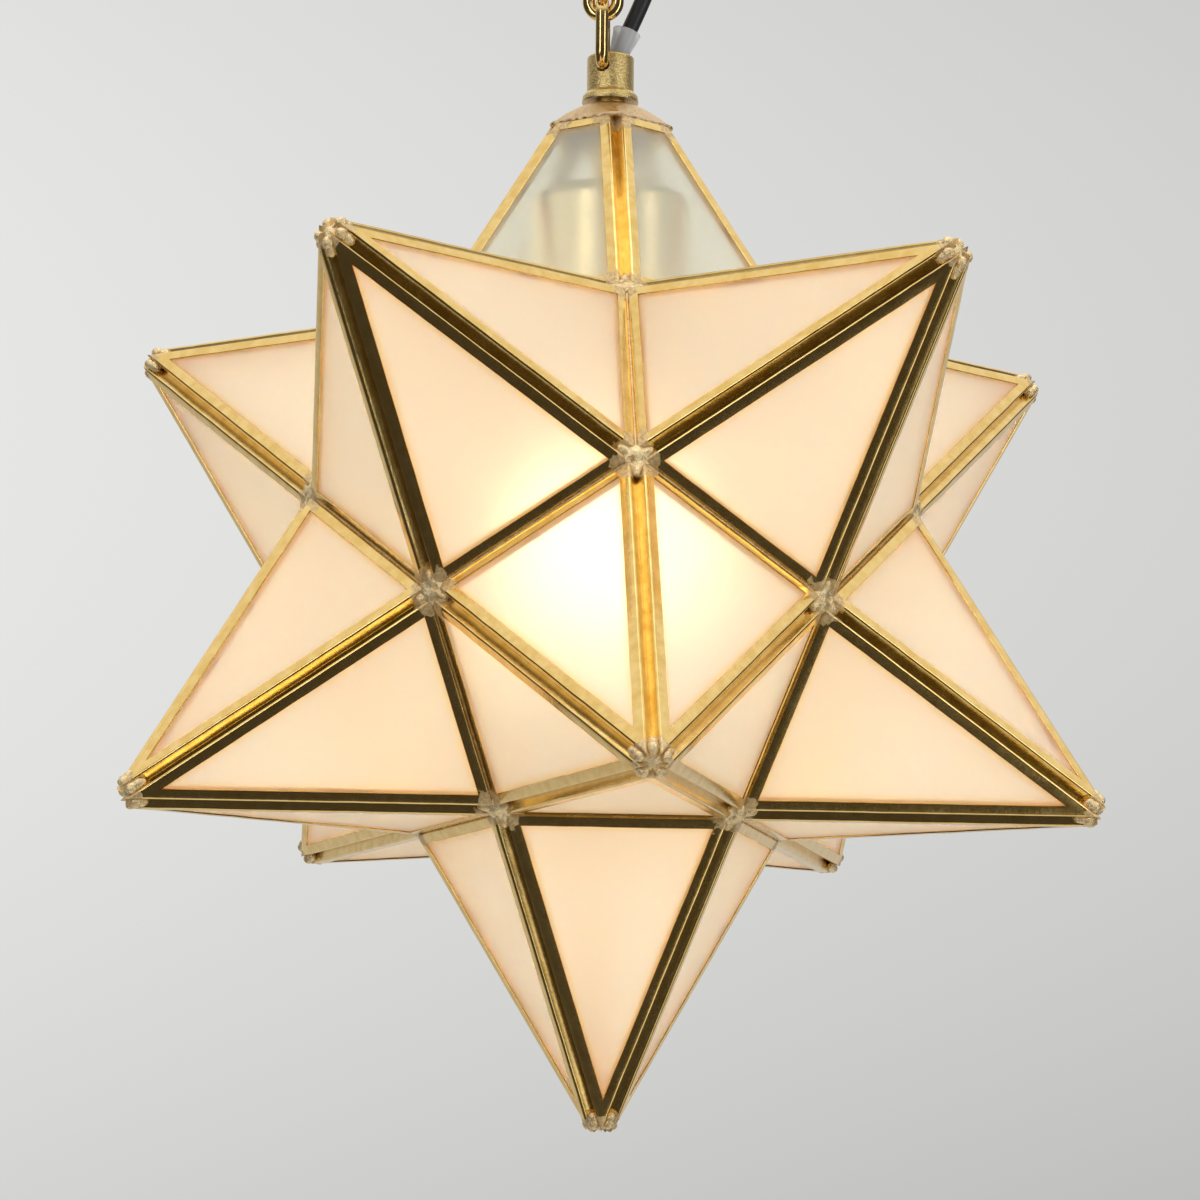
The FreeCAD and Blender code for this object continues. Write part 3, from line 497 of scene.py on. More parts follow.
def make_plain(name, colour, second, roughness, metallic=0.0, scale=300.0, bump=0.1):
    material, tree, shader = new_material(name)
    cloud, speck = wear_and_shade(tree, scale * 0.2, scale)
    link(tree, mixed(tree, mapped(tree, cloud, 0.35, 0.65), colour, second),
         shader.inputs["Base Color"])
    link(tree, mapped(tree, speck, 0.3, 0.7, roughness * 0.85, min(1.0, roughness * 1.2)),
         shader.inputs["Roughness"])
    shader.inputs["Metallic"].default_value = metallic
    bumped(tree, shader, speck, bump, 0.0002)
    return material


CHANNEL_BRASS = make_channel_brass()
BRAZING = make_brazing()
STEM_BRASS = make_cast_brass("stem_brass", (0.95, 0.74, 0.34), (0.62, 0.44, 0.16), 0.16,
                             2300.0, 0.45, 0.42, 0.60)
CHAIN_BRASS = make_cast_brass("chain_brass", (0.86, 0.64, 0.28), (0.78, 0.55, 0.20), 0.10,
                              500.0, 0.05)
CAP_BRASS = make_cast_brass("cap_brass", (0.86, 0.64, 0.37), (0.68, 0.49, 0.28), 0.28,
                            1800.0, 0.5)
CUP_BRASS = make_cast_brass("cup_brass", (0.92, 0.78, 0.48), (0.88, 0.72, 0.42), 0.28,
                            400.0, 0.05)
# The panes' glow is painted. The top panes get a dimmer, greener painted glow, as painted shade of
# the cup above the bulb.
FROSTED = make_frosted_glass("frosted_pane", 0.72, 0.5, (1.0, 0.72, 0.40), 0.142)
SHADED_TOP_FROSTED = make_frosted_glass("top_frosted_pane", 0.86, 0.27, (0.82, 0.86, 0.66), 0.09)
CLEAR_GLASS = make_clear_glass("clear_glass", (0.97, 0.97, 0.96), 0.02)
SLEEVE_PLASTIC = make_clear_glass("sleeve_plastic", (0.92, 0.95, 0.98), 0.22, 0.62)
LIT_BULB = make_lit_bulb()
STEEL = make_plain("zinc_steel", (0.62, 0.62, 0.63), (0.52, 0.52, 0.54), 0.32, 1.0)
PORCELAIN = make_plain("porcelain", (0.88, 0.87, 0.83), (0.84, 0.82, 0.78), 0.25, 0.0, 200, 0.03)
VITRITE = make_plain("black_vitrite", (0.02, 0.02, 0.025), (0.04, 0.04, 0.04), 0.2)
CABLE_JACKET = make_plain("cable_jacket", (0.016, 0.016, 0.02), (0.022, 0.022, 0.026), 0.42,
                          0.0, 900.0, 0.15)
BUSH_RUBBER = make_plain("bush_rubber", (0.02, 0.02, 0.02), (0.03, 0.03, 0.03), 0.6)
FILAMENT = make_plain("filament_coat", (0.95, 0.70, 0.25), (0.9, 0.62, 0.2), 0.5)


# ------------------------------------------------------------ repeated pieces
def repeat_tree(name, entries):
    """Geometry tree that takes one mesh and the named entries."""
    tree = bpy.data.node_groups.new(name, "GeometryNodeTree")
    tree.interface.new_socket("Geometry", in_out="INPUT", socket_type="NodeSocketGeometry")
    tree.interface.new_socket("Geometry", in_out="OUTPUT", socket_type="NodeSocketGeometry")
    for label, socket in entries:
        tree.interface.new_socket(label, in_out="INPUT", socket_type=socket)
    return tree, tree.nodes.new("NodeGroupInput"), tree.nodes.new("NodeGroupOutput")


def packed(tree, **parts):
    """Vector of the given X, Y and Z."""
    node = add(tree, "ShaderNodeCombineXYZ")
    for axis, value in parts.items():
        link(tree, value, node.inputs[axis])
    return node.outputs[0]


def finished_tree(tree, entry, leave, copies):
    """Ends the tree: the copies become one mesh with the entry's material."""
    solid = add(tree, "GeometryNodeRealizeInstances")
    link(tree, copies.outputs[0], solid.inputs[0])
    paint = add(tree, "GeometryNodeSetMaterial")
    link(tree, solid.outputs[0], paint.inputs["Geometry"])
    link(tree, entry.outputs["Material"], paint.inputs["Material"])
    link(tree, paint.outputs[0], leave.inputs[0])
    return tree


def make_ring_tree():
    """One pane tilted about its base edge and repeated round the point's axis."""
    tree, entry, leave = repeat_tree("ring_of_panes", [
        ("Panes", "NodeSocketInt"), ("First Angle", "NodeSocketFloat"),
        ("Base Radius", "NodeSocketFloat"), ("Base Height", "NodeSocketFloat"),
        ("Tilt", "NodeSocketFloat"), ("Material", "NodeSocketMaterial")])
    given = entry.outputs
    placed = add(tree, "GeometryNodeTransform")
    link(tree, given["Geometry"], placed.inputs["Geometry"])
    link(tree, packed(tree, X=given["Tilt"]), placed.inputs["Rotation"])
    back = computed(tree, "MULTIPLY", given["Base Radius"], -1.0)
    link(tree, packed(tree, Y=back, Z=given["Base Height"]), placed.inputs["Translation"])
    spots = add(tree, "GeometryNodePoints")
    link(tree, given["Panes"], spots.inputs["Count"])
    index = add(tree, "GeometryNodeInputIndex").outputs[0]
    part = computed(tree, "DIVIDE", 2 * math.pi, given["Panes"])
    angle = computed(tree, "MULTIPLY_ADD", index, part, given["First Angle"])
    copies = add(tree, "GeometryNodeInstanceOnPoints")
    link(tree, spots.outputs[0], copies.inputs["Points"])
    link(tree, placed.outputs[0], copies.inputs["Instance"])
    link(tree, packed(tree, Z=angle), copies.inputs["Rotation"])
    return finished_tree(tree, entry, leave, copies)


def make_spots_tree():
    """The object given as Piece, on every spot, turned by the spot's attribute turned."""
    tree, entry, leave = repeat_tree("piece_on_spots", [
        ("Piece", "NodeSocketObject"), ("Material", "NodeSocketMaterial")])
    piece = add(tree, "GeometryNodeObjectInfo")
    link(tree, entry.outputs["Piece"], piece.inputs["Object"])
    turned = add(tree, "GeometryNodeInputNamedAttribute", data_type="FLOAT_VECTOR")
    turned.inputs["Name"].default_value = "turned"
    copies = add(tree, "GeometryNodeInstanceOnPoints")
    link(tree, entry.outputs["Geometry"], copies.inputs["Points"])
    link(tree, piece.outputs["Geometry"], copies.inputs["Instance"])
    link(tree, turned.outputs["Attribute"], copies.inputs["Rotation"])
    return finished_tree(tree, entry, leave, copies)


RING_TREE = make_ring_tree()
SPOTS_TREE = make_spots_tree()


def run_tree(piece, tree, values, name):
    """Runs a geometry tree on the piece and gives the result as a plain mesh."""
    modifier = piece.modifiers.new(tree.name, "NODES")
    modifier.node_group = tree
    for item in tree.interface.items_tree:
        if item.in_out == "INPUT" and item.name in values:
            modifier[item.identifier] = values[item.name]
    mesh = evaluated(piece, name)
    piece.modifiers.remove(modifier)
    return mesh


# ------------------------------------------------------------ panes and cames
def pane_corners(kind):
    """Corners of a pane's channel, outside, in the pane's frame."""
    lift = DOOR_GAP if kind == "door" else SEAM_GAP
    half = (STAR_EDGE / 2 - RIDGE_INSET / math.sin(math.radians(72))
            - lift / math.tan(math.radians(72)))
    if kind != "cut":
        apex = lift + half * math.tan(math.radians(72))
        return [(-half, lift), (half, lift), (0.0, apex)]
    head_half = half - (TOP_CUT_SLOPE - lift) / math.tan(math.radians(72))
    return [(-half, lift), (half, lift), (head_half, TOP_CUT_SLOPE), (-head_half, TOP_CUT_SLOPE)]


def channel_profile():
    """Section of the channel: (inward, height), round at its folds."""
    half, lip = CAME_WIDTH / 2, CAME_WIDTH / 2 - CAME_SHEET
    outside = [(CAME_DEPTH, half - 0.2), (CAME_DEPTH - 0.12, half - 0.03),
               (CAME_DEPTH - 0.7, half), (1.6, half + 0.03)]
    outside += rounded((1.6, half), (0.0, half), (0.0, 0.0), 0.75, 5)
    mirrored = [(0.0, 0.6 - half), (-SEAM_LAP, 0.3 - half), (-SEAM_LAP, 0.06 - half),
                (0.0, -half), (1.6, -half)]
    mirrored += [(CAME_DEPTH - 0.12, 0.03 - half), (CAME_DEPTH, 0.2 - half)]
    inside = [(CAME_DEPTH, -lip + 0.03), (0.5, -lip), (0.5, lip), (CAME_DEPTH, lip - 0.03)]
    return outside + mirrored + inside


def channel_round(kind, steps=26):
    """One channel mitred round a pane, in the pane's frame (mm), with its from_joint attribute."""
    corners = [Vector(corner) for corner in pane_corners(kind)]
    count = len(corners)
    profile = channel_profile()
    shape = bmesh.new()
    from_joint = shape.verts.layers.float.new("from_joint")
    for side in range(count):
        start, end = corners[side], corners[(side + 1) % count]
        along = end - start
        length = along.length
        along.normalize()
        inward = Vector((-along.y, along.x))
        cuts = []
        for place in (side, (side + 1) % count):
            before, after = corners[place - 1], corners[(place + 1) % count]
            opening = (before - corners[place]).angle(after - corners[place])
            cuts.append(1 / math.tan(opening / 2))
        rings = []
        for step in range(steps + 1):
            share = step / steps
            share = share - 0.08 * math.sin(2 * math.pi * share)
            ring = []
            for deep, high in profile:
                low, top = deep * cuts[0], length - deep * cuts[1]
                run = low + share * (top - low)
                spot = start + along * run + inward * deep
                vertex = shape.verts.new((spot.x, spot.y, high))
                vertex[from_joint] = min(run, length - run)
                ring.append(vertex)
            rings.append(ring)
        skinned(shape, rings)
    outward(shape)
    return shape


def glass_pane(kind):
    """One sheet of glass in the pane's frame (mm), with its edges attribute."""
    corners = [Vector(corner) for corner in pane_corners(kind)]
    count = len(corners)
    lines = []
    for side in range(count):
        along = (corners[(side + 1) % count] - corners[side]).normalized()
        lines.append((corners[side], Vector((-along.y, along.x))))
    inset = CAME_SHEET + 0.05
    inner = []
    for place in range(count):
        first, second = lines[place - 1], lines[place]
        between = first[1] + second[1]
        inner.append(corners[place] + between * (inset / (1 + first[1].dot(second[1]))))
    shape = bmesh.new()
    edges = shape.verts.layers.float_vector.new("edges")
    layers = []
    for high in (1.5, -1.5):
        ring = []
        for corner in inner:
            vertex = shape.verts.new((corner.x, corner.y, high))
            away = [(corner - base).dot(way) for base, way in lines]
            vertex[edges] = Vector(away[:3])
            ring.append(vertex)
        layers.append(ring)
    shape.faces.new(layers[0])
    shape.faces.new(list(reversed(layers[1])))
    skinned(shape, layers)
    outward(shape)
    return shape


def ring_values(material):
    return {"Panes": 5, "First Angle": math.radians(36), "Base Radius": FACE_INRADIUS,
            "Base Height": FACE_Z, "Tilt": math.radians(FACE_TILT), "Material": material}


def point_kind(point):
    return {"top": "cut", DOOR: "door"}.get(point, "plain")


def make_points():
    # The ring tree tilts a pane about its base edge, so the pane is lowered to that edge first.
    drop = shift(0, 0, -CAME_WIDTH / 2)
    for kind in ("plain", "cut", "door"):
        rings = []
        for label, shape, material in (
                ("came", channel_round(kind), CHANNEL_BRASS),
                ("glass", glass_pane(kind), SHADED_TOP_FROSTED if kind == "cut" else FROSTED)):
            bmesh.ops.transform(shape, matrix=drop, verts=shape.verts)
            master = temporary(f"{kind}_{label}_master", shape)
            ring = run_tree(master, RING_TREE, ring_values(material), f"{kind}_{label}_ring")
            rings.append((label, ring, material))
            discard(master)
        for number, (point, place) in enumerate(POINTS.items()):
            if point_kind(point) == kind:
                for label, ring, material in rings:
                    dress_point(point, place, number, label, ring, material)
        for _, ring, _ in rings:
            bpy.data.meshes.remove(ring)


def dress_point(point, place, number, label, ring, material):
    """The panes' ring set on one point, with its channels bent a little by hand."""
    mesh = ring.copy()
    mesh.name = f"{point}_{label}_mesh"
    if label == "came":
        for vertex in mesh.vertices:
            vertex.co += Vector((wavy(vertex.co, 0.11, 0.10, number * 7.1),
                                 wavy(vertex.co, 0.13, 0.10, number * 3.7 + 20),
                                 wavy(vertex.co, 0.12, 0.10, number * 5.3 + 40)))
    mesh.transform(Matrix.Scale(MM, 4) @ STAR @ place)
    mesh.materials.clear()
    settled(smooth_object(f"{point}_{label}_detail", mesh, 40.0), material, body_of(point),
            f"{point}_point_{label}")


make_points()


# ------------------------------------------------------------ brazed joints
def blob(shape, centre, way, length, radius, level=3):
    """Bead of metal stretched along way."""
    made = bmesh.ops.create_icosphere(shape, subdivisions=level, radius=1.0)
    turned = Vector((0, 0, 1)).rotation_difference(way).to_matrix().to_4x4()
    sizes = Matrix.Diagonal((radius, radius, length, 1.0))
    bmesh.ops.transform(shape, matrix=Matrix.Translation(centre) @ turned @ sizes,
                        verts=made["verts"])


def merged(name, shape, voxel, seed, amount, pits=()):
    """Beads run together into one lump, with an uneven skin and small pits."""
    piece = temporary(name, shape)
    remesh = piece.modifiers.new("flow", "REMESH")
    remesh.mode = "VOXEL"
    remesh.voxel_size = voxel
    mesh = baked(piece, remesh, name + "_skin")
    normals = [vertex.normal.copy() for vertex in mesh.vertices]
    for vertex, normal in zip(mesh.vertices, normals):
        lift = wavy(vertex.co, 0.40, amount, seed) + wavy(vertex.co, 1.5, amount * 0.45, seed + 9)
        for spot, wide, deep in pits:
            away = (vertex.co - spot).length / wide
            lift -= deep * math.exp(-away * away)
        vertex.co += normal * lift
    piece.hide_render = True
    return piece


def corner_lump(seed):
    """Joint where three points meet, in the star frame at the top face's front corner."""
    corner = Vector((0, -FACE_CIRCUMRADIUS, FACE_Z))
    out = corner.normalized()
    shape = bmesh.new()
    blob(shape, corner - out * 2.5, out, 2.6, 4.5, level=4)
    for point in ("top", "upper_1", "upper_5"):
        tip = POINTS[point] @ Vector((0, 0, FULL_APEX_Z))
        ridge = (tip - corner).normalized()
        axis = POINTS[point] @ Vector((0, 0, 1))
        inward = axis.cross(ridge).cross(ridge).normalized()
        if inward.dot(corner - axis * corner.dot(axis)) > 0:
            inward = -inward
        reach = 3.6 + wavy(tip, 0.05, 1.8, seed)
        blob(shape, corner + ridge * (reach * 0.6) + inward * 3.0, ridge, reach, 1.75)
    aside = out.cross(Vector((0, 0, 1))).normalized()
    high = aside.cross(out)
    dimple = corner + aside * wavy(corner, 0.7, 5.0, seed) + high * 1.2
    hole = corner - aside * 1.6 + high * wavy(corner, 0.9, 6.0, seed + 4)
    return merged("corner_lump_master", shape, 0.34, seed, 0.34,
                  ((dimple, 1.5, 0.8), (hole, 0.8, 1.6)))


def tip_lump(seed):
    """Brazed tip of a point, in the point frame."""
    tip = Vector((0, 0, FULL_APEX_Z))
    shape = bmesh.new()
    blob(shape, tip - Vector((0, 0, 11.7)), Vector((0, 0, 1)), 3.3, 3.9)
    for number in range(5):
        way = turn("Z", 72 * number) @ Vector((0, -FACE_CIRCUMRADIUS, FACE_Z - FULL_APEX_Z))
        way.normalize()
        side = Vector((way.x, way.y, 0)).normalized()
        inward = (Vector((0, 0, -1)) - way * way.dot(Vector((0, 0, -1)))).normalized()
        if inward.dot(side) > 0:
            inward = -inward
        reach = 2.5 + wavy(way * 30, 0.3, 1.6, seed)
        blob(shape, tip + way * (11.8 + reach * 0.4) + inward * 2.6, way, reach, 1.7)
        blob(shape, tip + way * 10.7 + inward * 1.95, way, 1.9, 1.75)
    return merged("tip_lump_master", shape, 0.30, seed, 0.30)


def scattered(name, lump, places, material):
    """Lump on every place, as one plain mesh."""
    spots = bpy.data.meshes.new(name + "_spots")
    spots.from_pydata([tuple(place.translation) for place in places], [], [])
    attribute = spots.attributes.new("turned", "FLOAT_VECTOR", "POINT")
    for item, place in zip(attribute.data, places):
        item.vector = tuple(place.to_euler("XYZ"))
    holder = in_scene(name + "_holder", spots)
    mesh = run_tree(holder, SPOTS_TREE, {"Piece": lump, "Material": material}, name)
    discard(holder)
    mesh.transform(Matrix.Scale(MM, 4))
    return mesh


def joined_meshes(name, meshes):
    shape = bmesh.new()
    for mesh in meshes:
        shape.from_mesh(mesh)
        bpy.data.meshes.remove(mesh)
    whole = plain_mesh(name, shape)
    for face in whole.polygons:
        face.material_index = 0
    return smooth_object(name, whole, 60.0)


def seam_bead():
    """Brazing along the valley between two points, in the star frame at the top face's edge."""
    shape = bmesh.new()
    steps, long, sunk, thick, sides = 60, STAR_EDGE - 9.0, 0.9, 0.56, 10
    place = turn("Z", 36) @ shift(0, -FACE_INRADIUS, FACE_Z)
    out = place.translation.normalized()
    along = (place.to_3x3() @ Vector((1, 0, 0))).normalized()
    rings = []
    for step in range(steps + 1):
        here = place.translation - out * sunk + along * (long * (step / steps - 0.5))
        rings.append(round_section(shape, here, along.cross(out), out,
                                   thick + wavy(here, 0.5, 0.10, 2.0), sides))
    skinned(shape, rings)
    shape.faces.new(rings[0])
    shape.faces.new(rings[-1])
    bmesh.ops.recalc_face_normals(shape, faces=shape.faces)
    piece = temporary("seam_bead_master", shape)
    piece.hide_render = True
    return piece


def valley_places():
    """One turned place for every valley that doesn't belong to the door."""
    middle = turn("Z", 36) @ Vector((0, -FACE_INRADIUS, FACE_Z))
    taken = [POINTS[DOOR] @ turn("Z", 72 * number) @ middle for number in range(5)]
    places = []
    for place in POINTS.values():
        for number in range(5):
            turned = place @ turn("Z", 72 * number)
            spot = turned @ middle
            if all((spot - other).length > 1.0 for other in taken):
                taken.append(spot)
                places.append(STAR @ turned)
    return places


def make_brazing_pieces():
    seeds = (3.0, 17.0, 31.0)
    corners = []
    for point, place in POINTS.items():
        for number in range(5 if point in ("top", "bottom") else 1):
            corners.append(STAR @ place @ turn("Z", 72 * number))
    tips = [STAR @ place @ turn("Z", 72 * number)
            for number, (point, place) in enumerate(POINTS.items())
            if point not in ("top", DOOR)]
    corner_meshes, tip_meshes = [], []
    for number, seed in enumerate(seeds):
        lump = corner_lump(seed)
        corner_meshes.append(scattered(f"corners_{number}", lump, corners[number::3], BRAZING))
        discard(lump)
        lump = tip_lump(seed)
        tip_meshes.append(scattered(f"tips_{number}", lump, tips[number::3], BRAZING))
        if number == 1:
            door_mesh = scattered("door_tip", lump, [STAR @ POINTS[DOOR]], BRAZING)
        discard(lump)
    bead = seam_bead()
    corner_meshes.append(scattered("valley_seams", bead, valley_places(), BRAZING))
    discard(bead)
    pieces = (("corner_brazing", corner_meshes, "star", "corner_solder"),
              ("tip_brazing", tip_meshes, "star", "tip_solder"),
              ("door_tip_brazing", [door_mesh], "door", "door_tip_solder"))
    for name, meshes, body, node in pieces:
        settled(joined_meshes(name, meshes), BRAZING, body, node)


make_brazing_pieces()


# ------------------------------------------------------------ cap and stem
def make_cap():
    """Dome whose rim is drawn out to the five-sided opening and brazed over its edge."""
    radius, sheet = CAP_RADIUS, 1.0
    dome = (radius ** 2 + CAP_RISE ** 2) / (2 * CAP_RISE)
    centre = CAP_Z + CAP_RISE - dome
    low, hole = math.asin(radius / dome), math.asin(NIPPLE_HOLE / dome)
    profile = [(radius - 0.9, CAP_Z - 0.75), (radius - 0.2, CAP_Z - 0.8),
               (radius + 0.25, CAP_Z - 0.45), (radius + 0.35, CAP_Z + 0.1),
               (radius + 0.15, CAP_Z + 0.65)]
    for step in range(1, 22):
        way = low + (hole - low) * step / 21
        profile.append((dome * math.sin(way), centre + dome * math.cos(way)))
    inner = dome - sheet
    low, hole = math.acos((CAP_Z - centre) / inner), math.asin(NIPPLE_HOLE / inner)
    for step in range(15):
        way = hole + (low - hole) * step / 14
        profile.append((inner * math.sin(way), centre + inner * math.cos(way)))
    apothem = TOP_CUT_RADIUS * math.cos(math.radians(36))

    def pull(way, wide, high):
        aside = (math.degrees(way) + 90.0) % 72.0 - 36.0
        reach = min(apothem / math.cos(math.radians(aside)) - 0.35, 20.6) / radius
        share = max(0.0, min(1.0, (wide / radius - 0.45) / 0.55)) ** 2
        spot = (wide * math.cos(way), wide * math.sin(way), high)
        return wide * (1 + (reach - 1) * share) + wavy(spot, 0.45, 0.35, 5.0) * share

    cap = lathed("dome_cap", profile, STAR, 240, 50.0, pull)
    settled(cap, CAP_BRASS, "star", "top_cap")


def make_stem():
    foot, top, wide = STEM_FOOT_Z, STEM_TOP_Z - 1.2, 7.75
    outline = [(5.05, foot), (9.2, foot), (9.3, foot + 0.3), (9.25, foot + 0.9)]
    outline += rounded((9.3, foot + 0.9), (9.1, foot + 2.3), (8.3, foot + 3.1), 1.2, 6)
    outline += rounded((8.5, foot + 3.0), (8.15, foot + 3.35), (wide, foot + 3.2), 0.15, 3)
    outline += [(wide, foot + 3.0), (wide, foot + 8.0), (wide, top - 1.3)]
    outline += rounded((wide, top - 1.3), (wide, top), (6.9, top), 0.85, 5)
    outline += rounded((6.8, top), (6.4, top), (6.4, top - 0.6), 0.25, 3)
    outline += [(6.4, foot + 6.2), (5.05, foot + 6.2)]
    stem = lathed("stem_detail", outline, STAR, 128)
    drilled(stem, 2.4, 60.0, STAR @ shift(HOOK.x, HOOK.y, HOOK_Z) @ turn("Z", CHAIN_TURN)
            @ turn("X", 90) @ shift(0, 0, -15))
    settled(stem, STEM_BRASS, "star", "stem")


make_cap()
make_stem()


# ------------------------------------------------------------ chain and canopy
def swept_ring(name, centreline, radius, place):
    """Round wire along a closed flat line in XZ."""
    shape = bmesh.new()
    across = Vector((0, 1, 0))
    rings = []
    for index, spot in enumerate(centreline):
        after = centreline[(index + 1) % len(centreline)]
        along = (Vector(after) - Vector(centreline[index - 1])).normalized()
        rings.append(round_section(shape, Vector(spot), along.cross(across), across, radius))
    skinned(shape, rings, closed=True)
    outward(shape)
    return smooth_object(name, mesh_of(name, shape, place), 60.0)


def link_line(steps=28):
    bend, straight = (LINK_WIDE - LINK_WIRE) / 2, LINK_LONG - LINK_WIDE
    line = []
    for side in (1, -1):
        for step in range(steps + 1):
            way = math.pi * step / steps
            line.append((side * bend * math.cos(way), 0.0,
                         side * (straight / 2 + bend * math.sin(way))))
        for step in range(1, 8):
            line.append((-side * bend, 0.0, side * straight * (0.5 - step / 8)))
    return line


def make_chain():
    upper = swept_ring("upper_link_wire", link_line(), LINK_WIRE / 2,
                       CHAIN @ shift(0, 0, UPPER_LINK_Z + LINK_REACH / 2))
    lower = swept_ring("lower_link_wire", link_line(), LINK_WIRE / 2,
                       CHAIN @ shift(0, 0, HOOK_Z + LINK_REACH / 2) @ turn("Z", 90))
    for piece, body in ((upper, "upper_link"), (lower, "lower_link")):
        settled(piece, CHAIN_BRASS, body, body)


make_chain()


# ------------------------------------------------------------ cable and its sleeve
LOWER_ROUTE = [(0.5, 0.4, 165.6), (2.5, 1.3, 174.6), (5.4, 1.9, 183.2), (9.4, 2.6, 192.4),
               (11.2, 2.95, 197.2)]
UPPER_ROUTE = [(11.22, 2.954, 197.25), (13.62, 3.42, 203.65), (15.9, 3.7, 213.0),
               (16.3, 3.6, 224.5), (16.3, 3.7, 236.0)]
CABLE_RADIUS = 2.7


def route_point(aside, back, high):
    level = chain_level(aside, back)
    return (STAR @ Vector((level.x, level.y, high))) * MM


def smooth_line(name, route):
    """Points read from the route's smooth spline, in metres."""
    curve = bpy.data.curves.new(name, "CURVE")
    curve.dimensions = "3D"
    spline = curve.splines.new("NURBS")
    spline.points.add(len(route) - 1)
    for point, spot in zip(spline.points, route):
        point.co = (*route_point(*spot), 1.0)
    spline.order_u = 3
    spline.use_endpoint_u = True
    spline.resolution_u = 16
    holder = in_scene(name, curve)
    mesh = evaluated(holder, name + "_line")
    points = [vertex.co.copy() for vertex in mesh.vertices]
    bpy.data.meshes.remove(mesh)
    bpy.data.objects.remove(holder)
    bpy.data.curves.remove(curve)
    return points


def cable_tube(name, points):
    """Round jacket along the points, which are in metres."""
    shape = bmesh.new()
    rings = []
    across = Vector((1, 0, 0))
    for index, here in enumerate(points):
        before, after = points[max(index - 1, 0)], points[min(index + 1, len(points) - 1)]
        along = (after - before).normalized()
        across = (across - along * across.dot(along)).normalized()
        rings.append(round_section(shape, here, across, along.cross(across), CABLE_RADIUS * MM))
    skinned(shape, rings)
    shape.faces.new(rings[0])
    shape.faces.new(rings[-1])
    bmesh.ops.recalc_face_normals(shape, faces=shape.faces)
    cable = smooth_object(name, plain_mesh(name, shape), 50.0)
    cable.data.materials.append(CABLE_JACKET)
    return cable


def make_cables():
    runs = (("cable_lower", LOWER_ROUTE, "lower_link", "upper_link", 0.35, 0.9),
            ("cable_upper", UPPER_ROUTE, "upper_link", "canopy", 0.12, 0.85))
    for node, route, first, second, leave, arrive in runs:
        points = smooth_line(node + "_run", route)
        cable = cable_tube(node + "_jacket", points)
        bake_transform(cable)
        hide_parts(node)


def make_sleeve():
    long, foot_radius, mouth_radius, wall, lean, steps = 8.8, 3.2, 4.8, 0.5, 19.0, 12
    way = (Vector(LOWER_ROUTE[2]) - Vector(LOWER_ROUTE[1])).normalized()
    foot = Vector(LOWER_ROUTE[1]) + way * 0.9 - Vector((0.4, 0, 0))
    level = chain_level(foot.x, foot.y)
    place = (STAR @ shift(level.x, level.y, foot.z)
             @ turn("Z", CHAIN_TURN + math.degrees(math.atan2(way.y, way.x))) @ turn("Y", lean))
    flare = [foot_radius + (mouth_radius - foot_radius) * (step / steps) ** 1.15
             for step in range(steps + 1)]
    outline = [(radius, long * step / steps) for step, radius in enumerate(flare)]
    outline[-1] = (mouth_radius, long - 0.25)
    lip = [(mouth_radius - 0.08, long - 0.05), (mouth_radius - wall / 2, long),
           (mouth_radius - wall + 0.06, long - 0.06)]
    inside = [(radius - wall * (0.55 + 0.45 * step / steps), long * step / steps)
              for step, radius in enumerate(flare)]
    sleeve = lathed("cable_sleeve_flare", outline + lip + list(reversed(inside[:-1])), place,
                    64, 60.0)
    settled(sleeve, SLEEVE_PLASTIC, "star", "cable_sleeve")


make_cables()
make_sleeve()


# ------------------------------------------------------------ lampholder cup and bulb
CUP_TOP_Z = CAP_Z - 23.0
HOLDER_MOUTH_Z = CUP_TOP_Z - 3.8 - 50.0
BULB_CENTRE_Z = HOLDER_MOUTH_Z - 66.0


def make_cup():
    radius, sheet, shoulder, foot = 25.5, 0.8, 5.0, CUP_TOP_Z - 58.0
    outline = [(5.05, CUP_TOP_Z)]
    outline += rounded((5.05, CUP_TOP_Z), (radius, CUP_TOP_Z), (radius, foot), shoulder, 12)
    outline += [(radius, foot + 0.2), (radius - 0.2, foot), (radius - sheet + 0.2, foot),
                (radius - sheet, foot + 0.2)]
    outline += rounded((radius - sheet, foot), (radius - sheet, CUP_TOP_Z - sheet),
                       (5.05, CUP_TOP_Z - sheet), shoulder - sheet, 12)
    outline += [(5.05, CUP_TOP_Z - sheet)]
    cup = lathed("socket_cup_spun", outline, STAR, 96)
    settled(cup, CUP_BRASS, "star", "socket_cup")


def make_bulb():
    radius, neck, neck_end = 30.0, 14.5, 65.4
    profile = []
    for step in range(33):
        way = math.radians(-90 + 127 * step / 32)
        profile.append((max(radius * math.cos(way), 0.0), radius * math.sin(way)))
    low_radius, low = profile[-1]
    for step in range(1, 13):
        share = step / 12
        ease = share * share * (3 - 2 * share)
        profile.append((low_radius + (neck - low_radius) * (0.35 * share + 0.65 * ease),
                        low + (neck_end - low) * share))
    profile.append((0.0, neck_end))
    bulb = lathed("lit_bulb_globe", [(wide, high + BULB_CENTRE_Z) for wide, high in profile],
                  STAR, 72)
    heights = bulb.data.attributes.new("above_centre", "FLOAT", "POINT")
    heights.data.foreach_set("value", [vertex.co.z / MM + CEILING_Z - BULB_CENTRE_Z
                                       for vertex in bulb.data.vertices])
    settled(bulb, LIT_BULB, "bulb", "bulb_globe")


make_cup()
make_bulb()


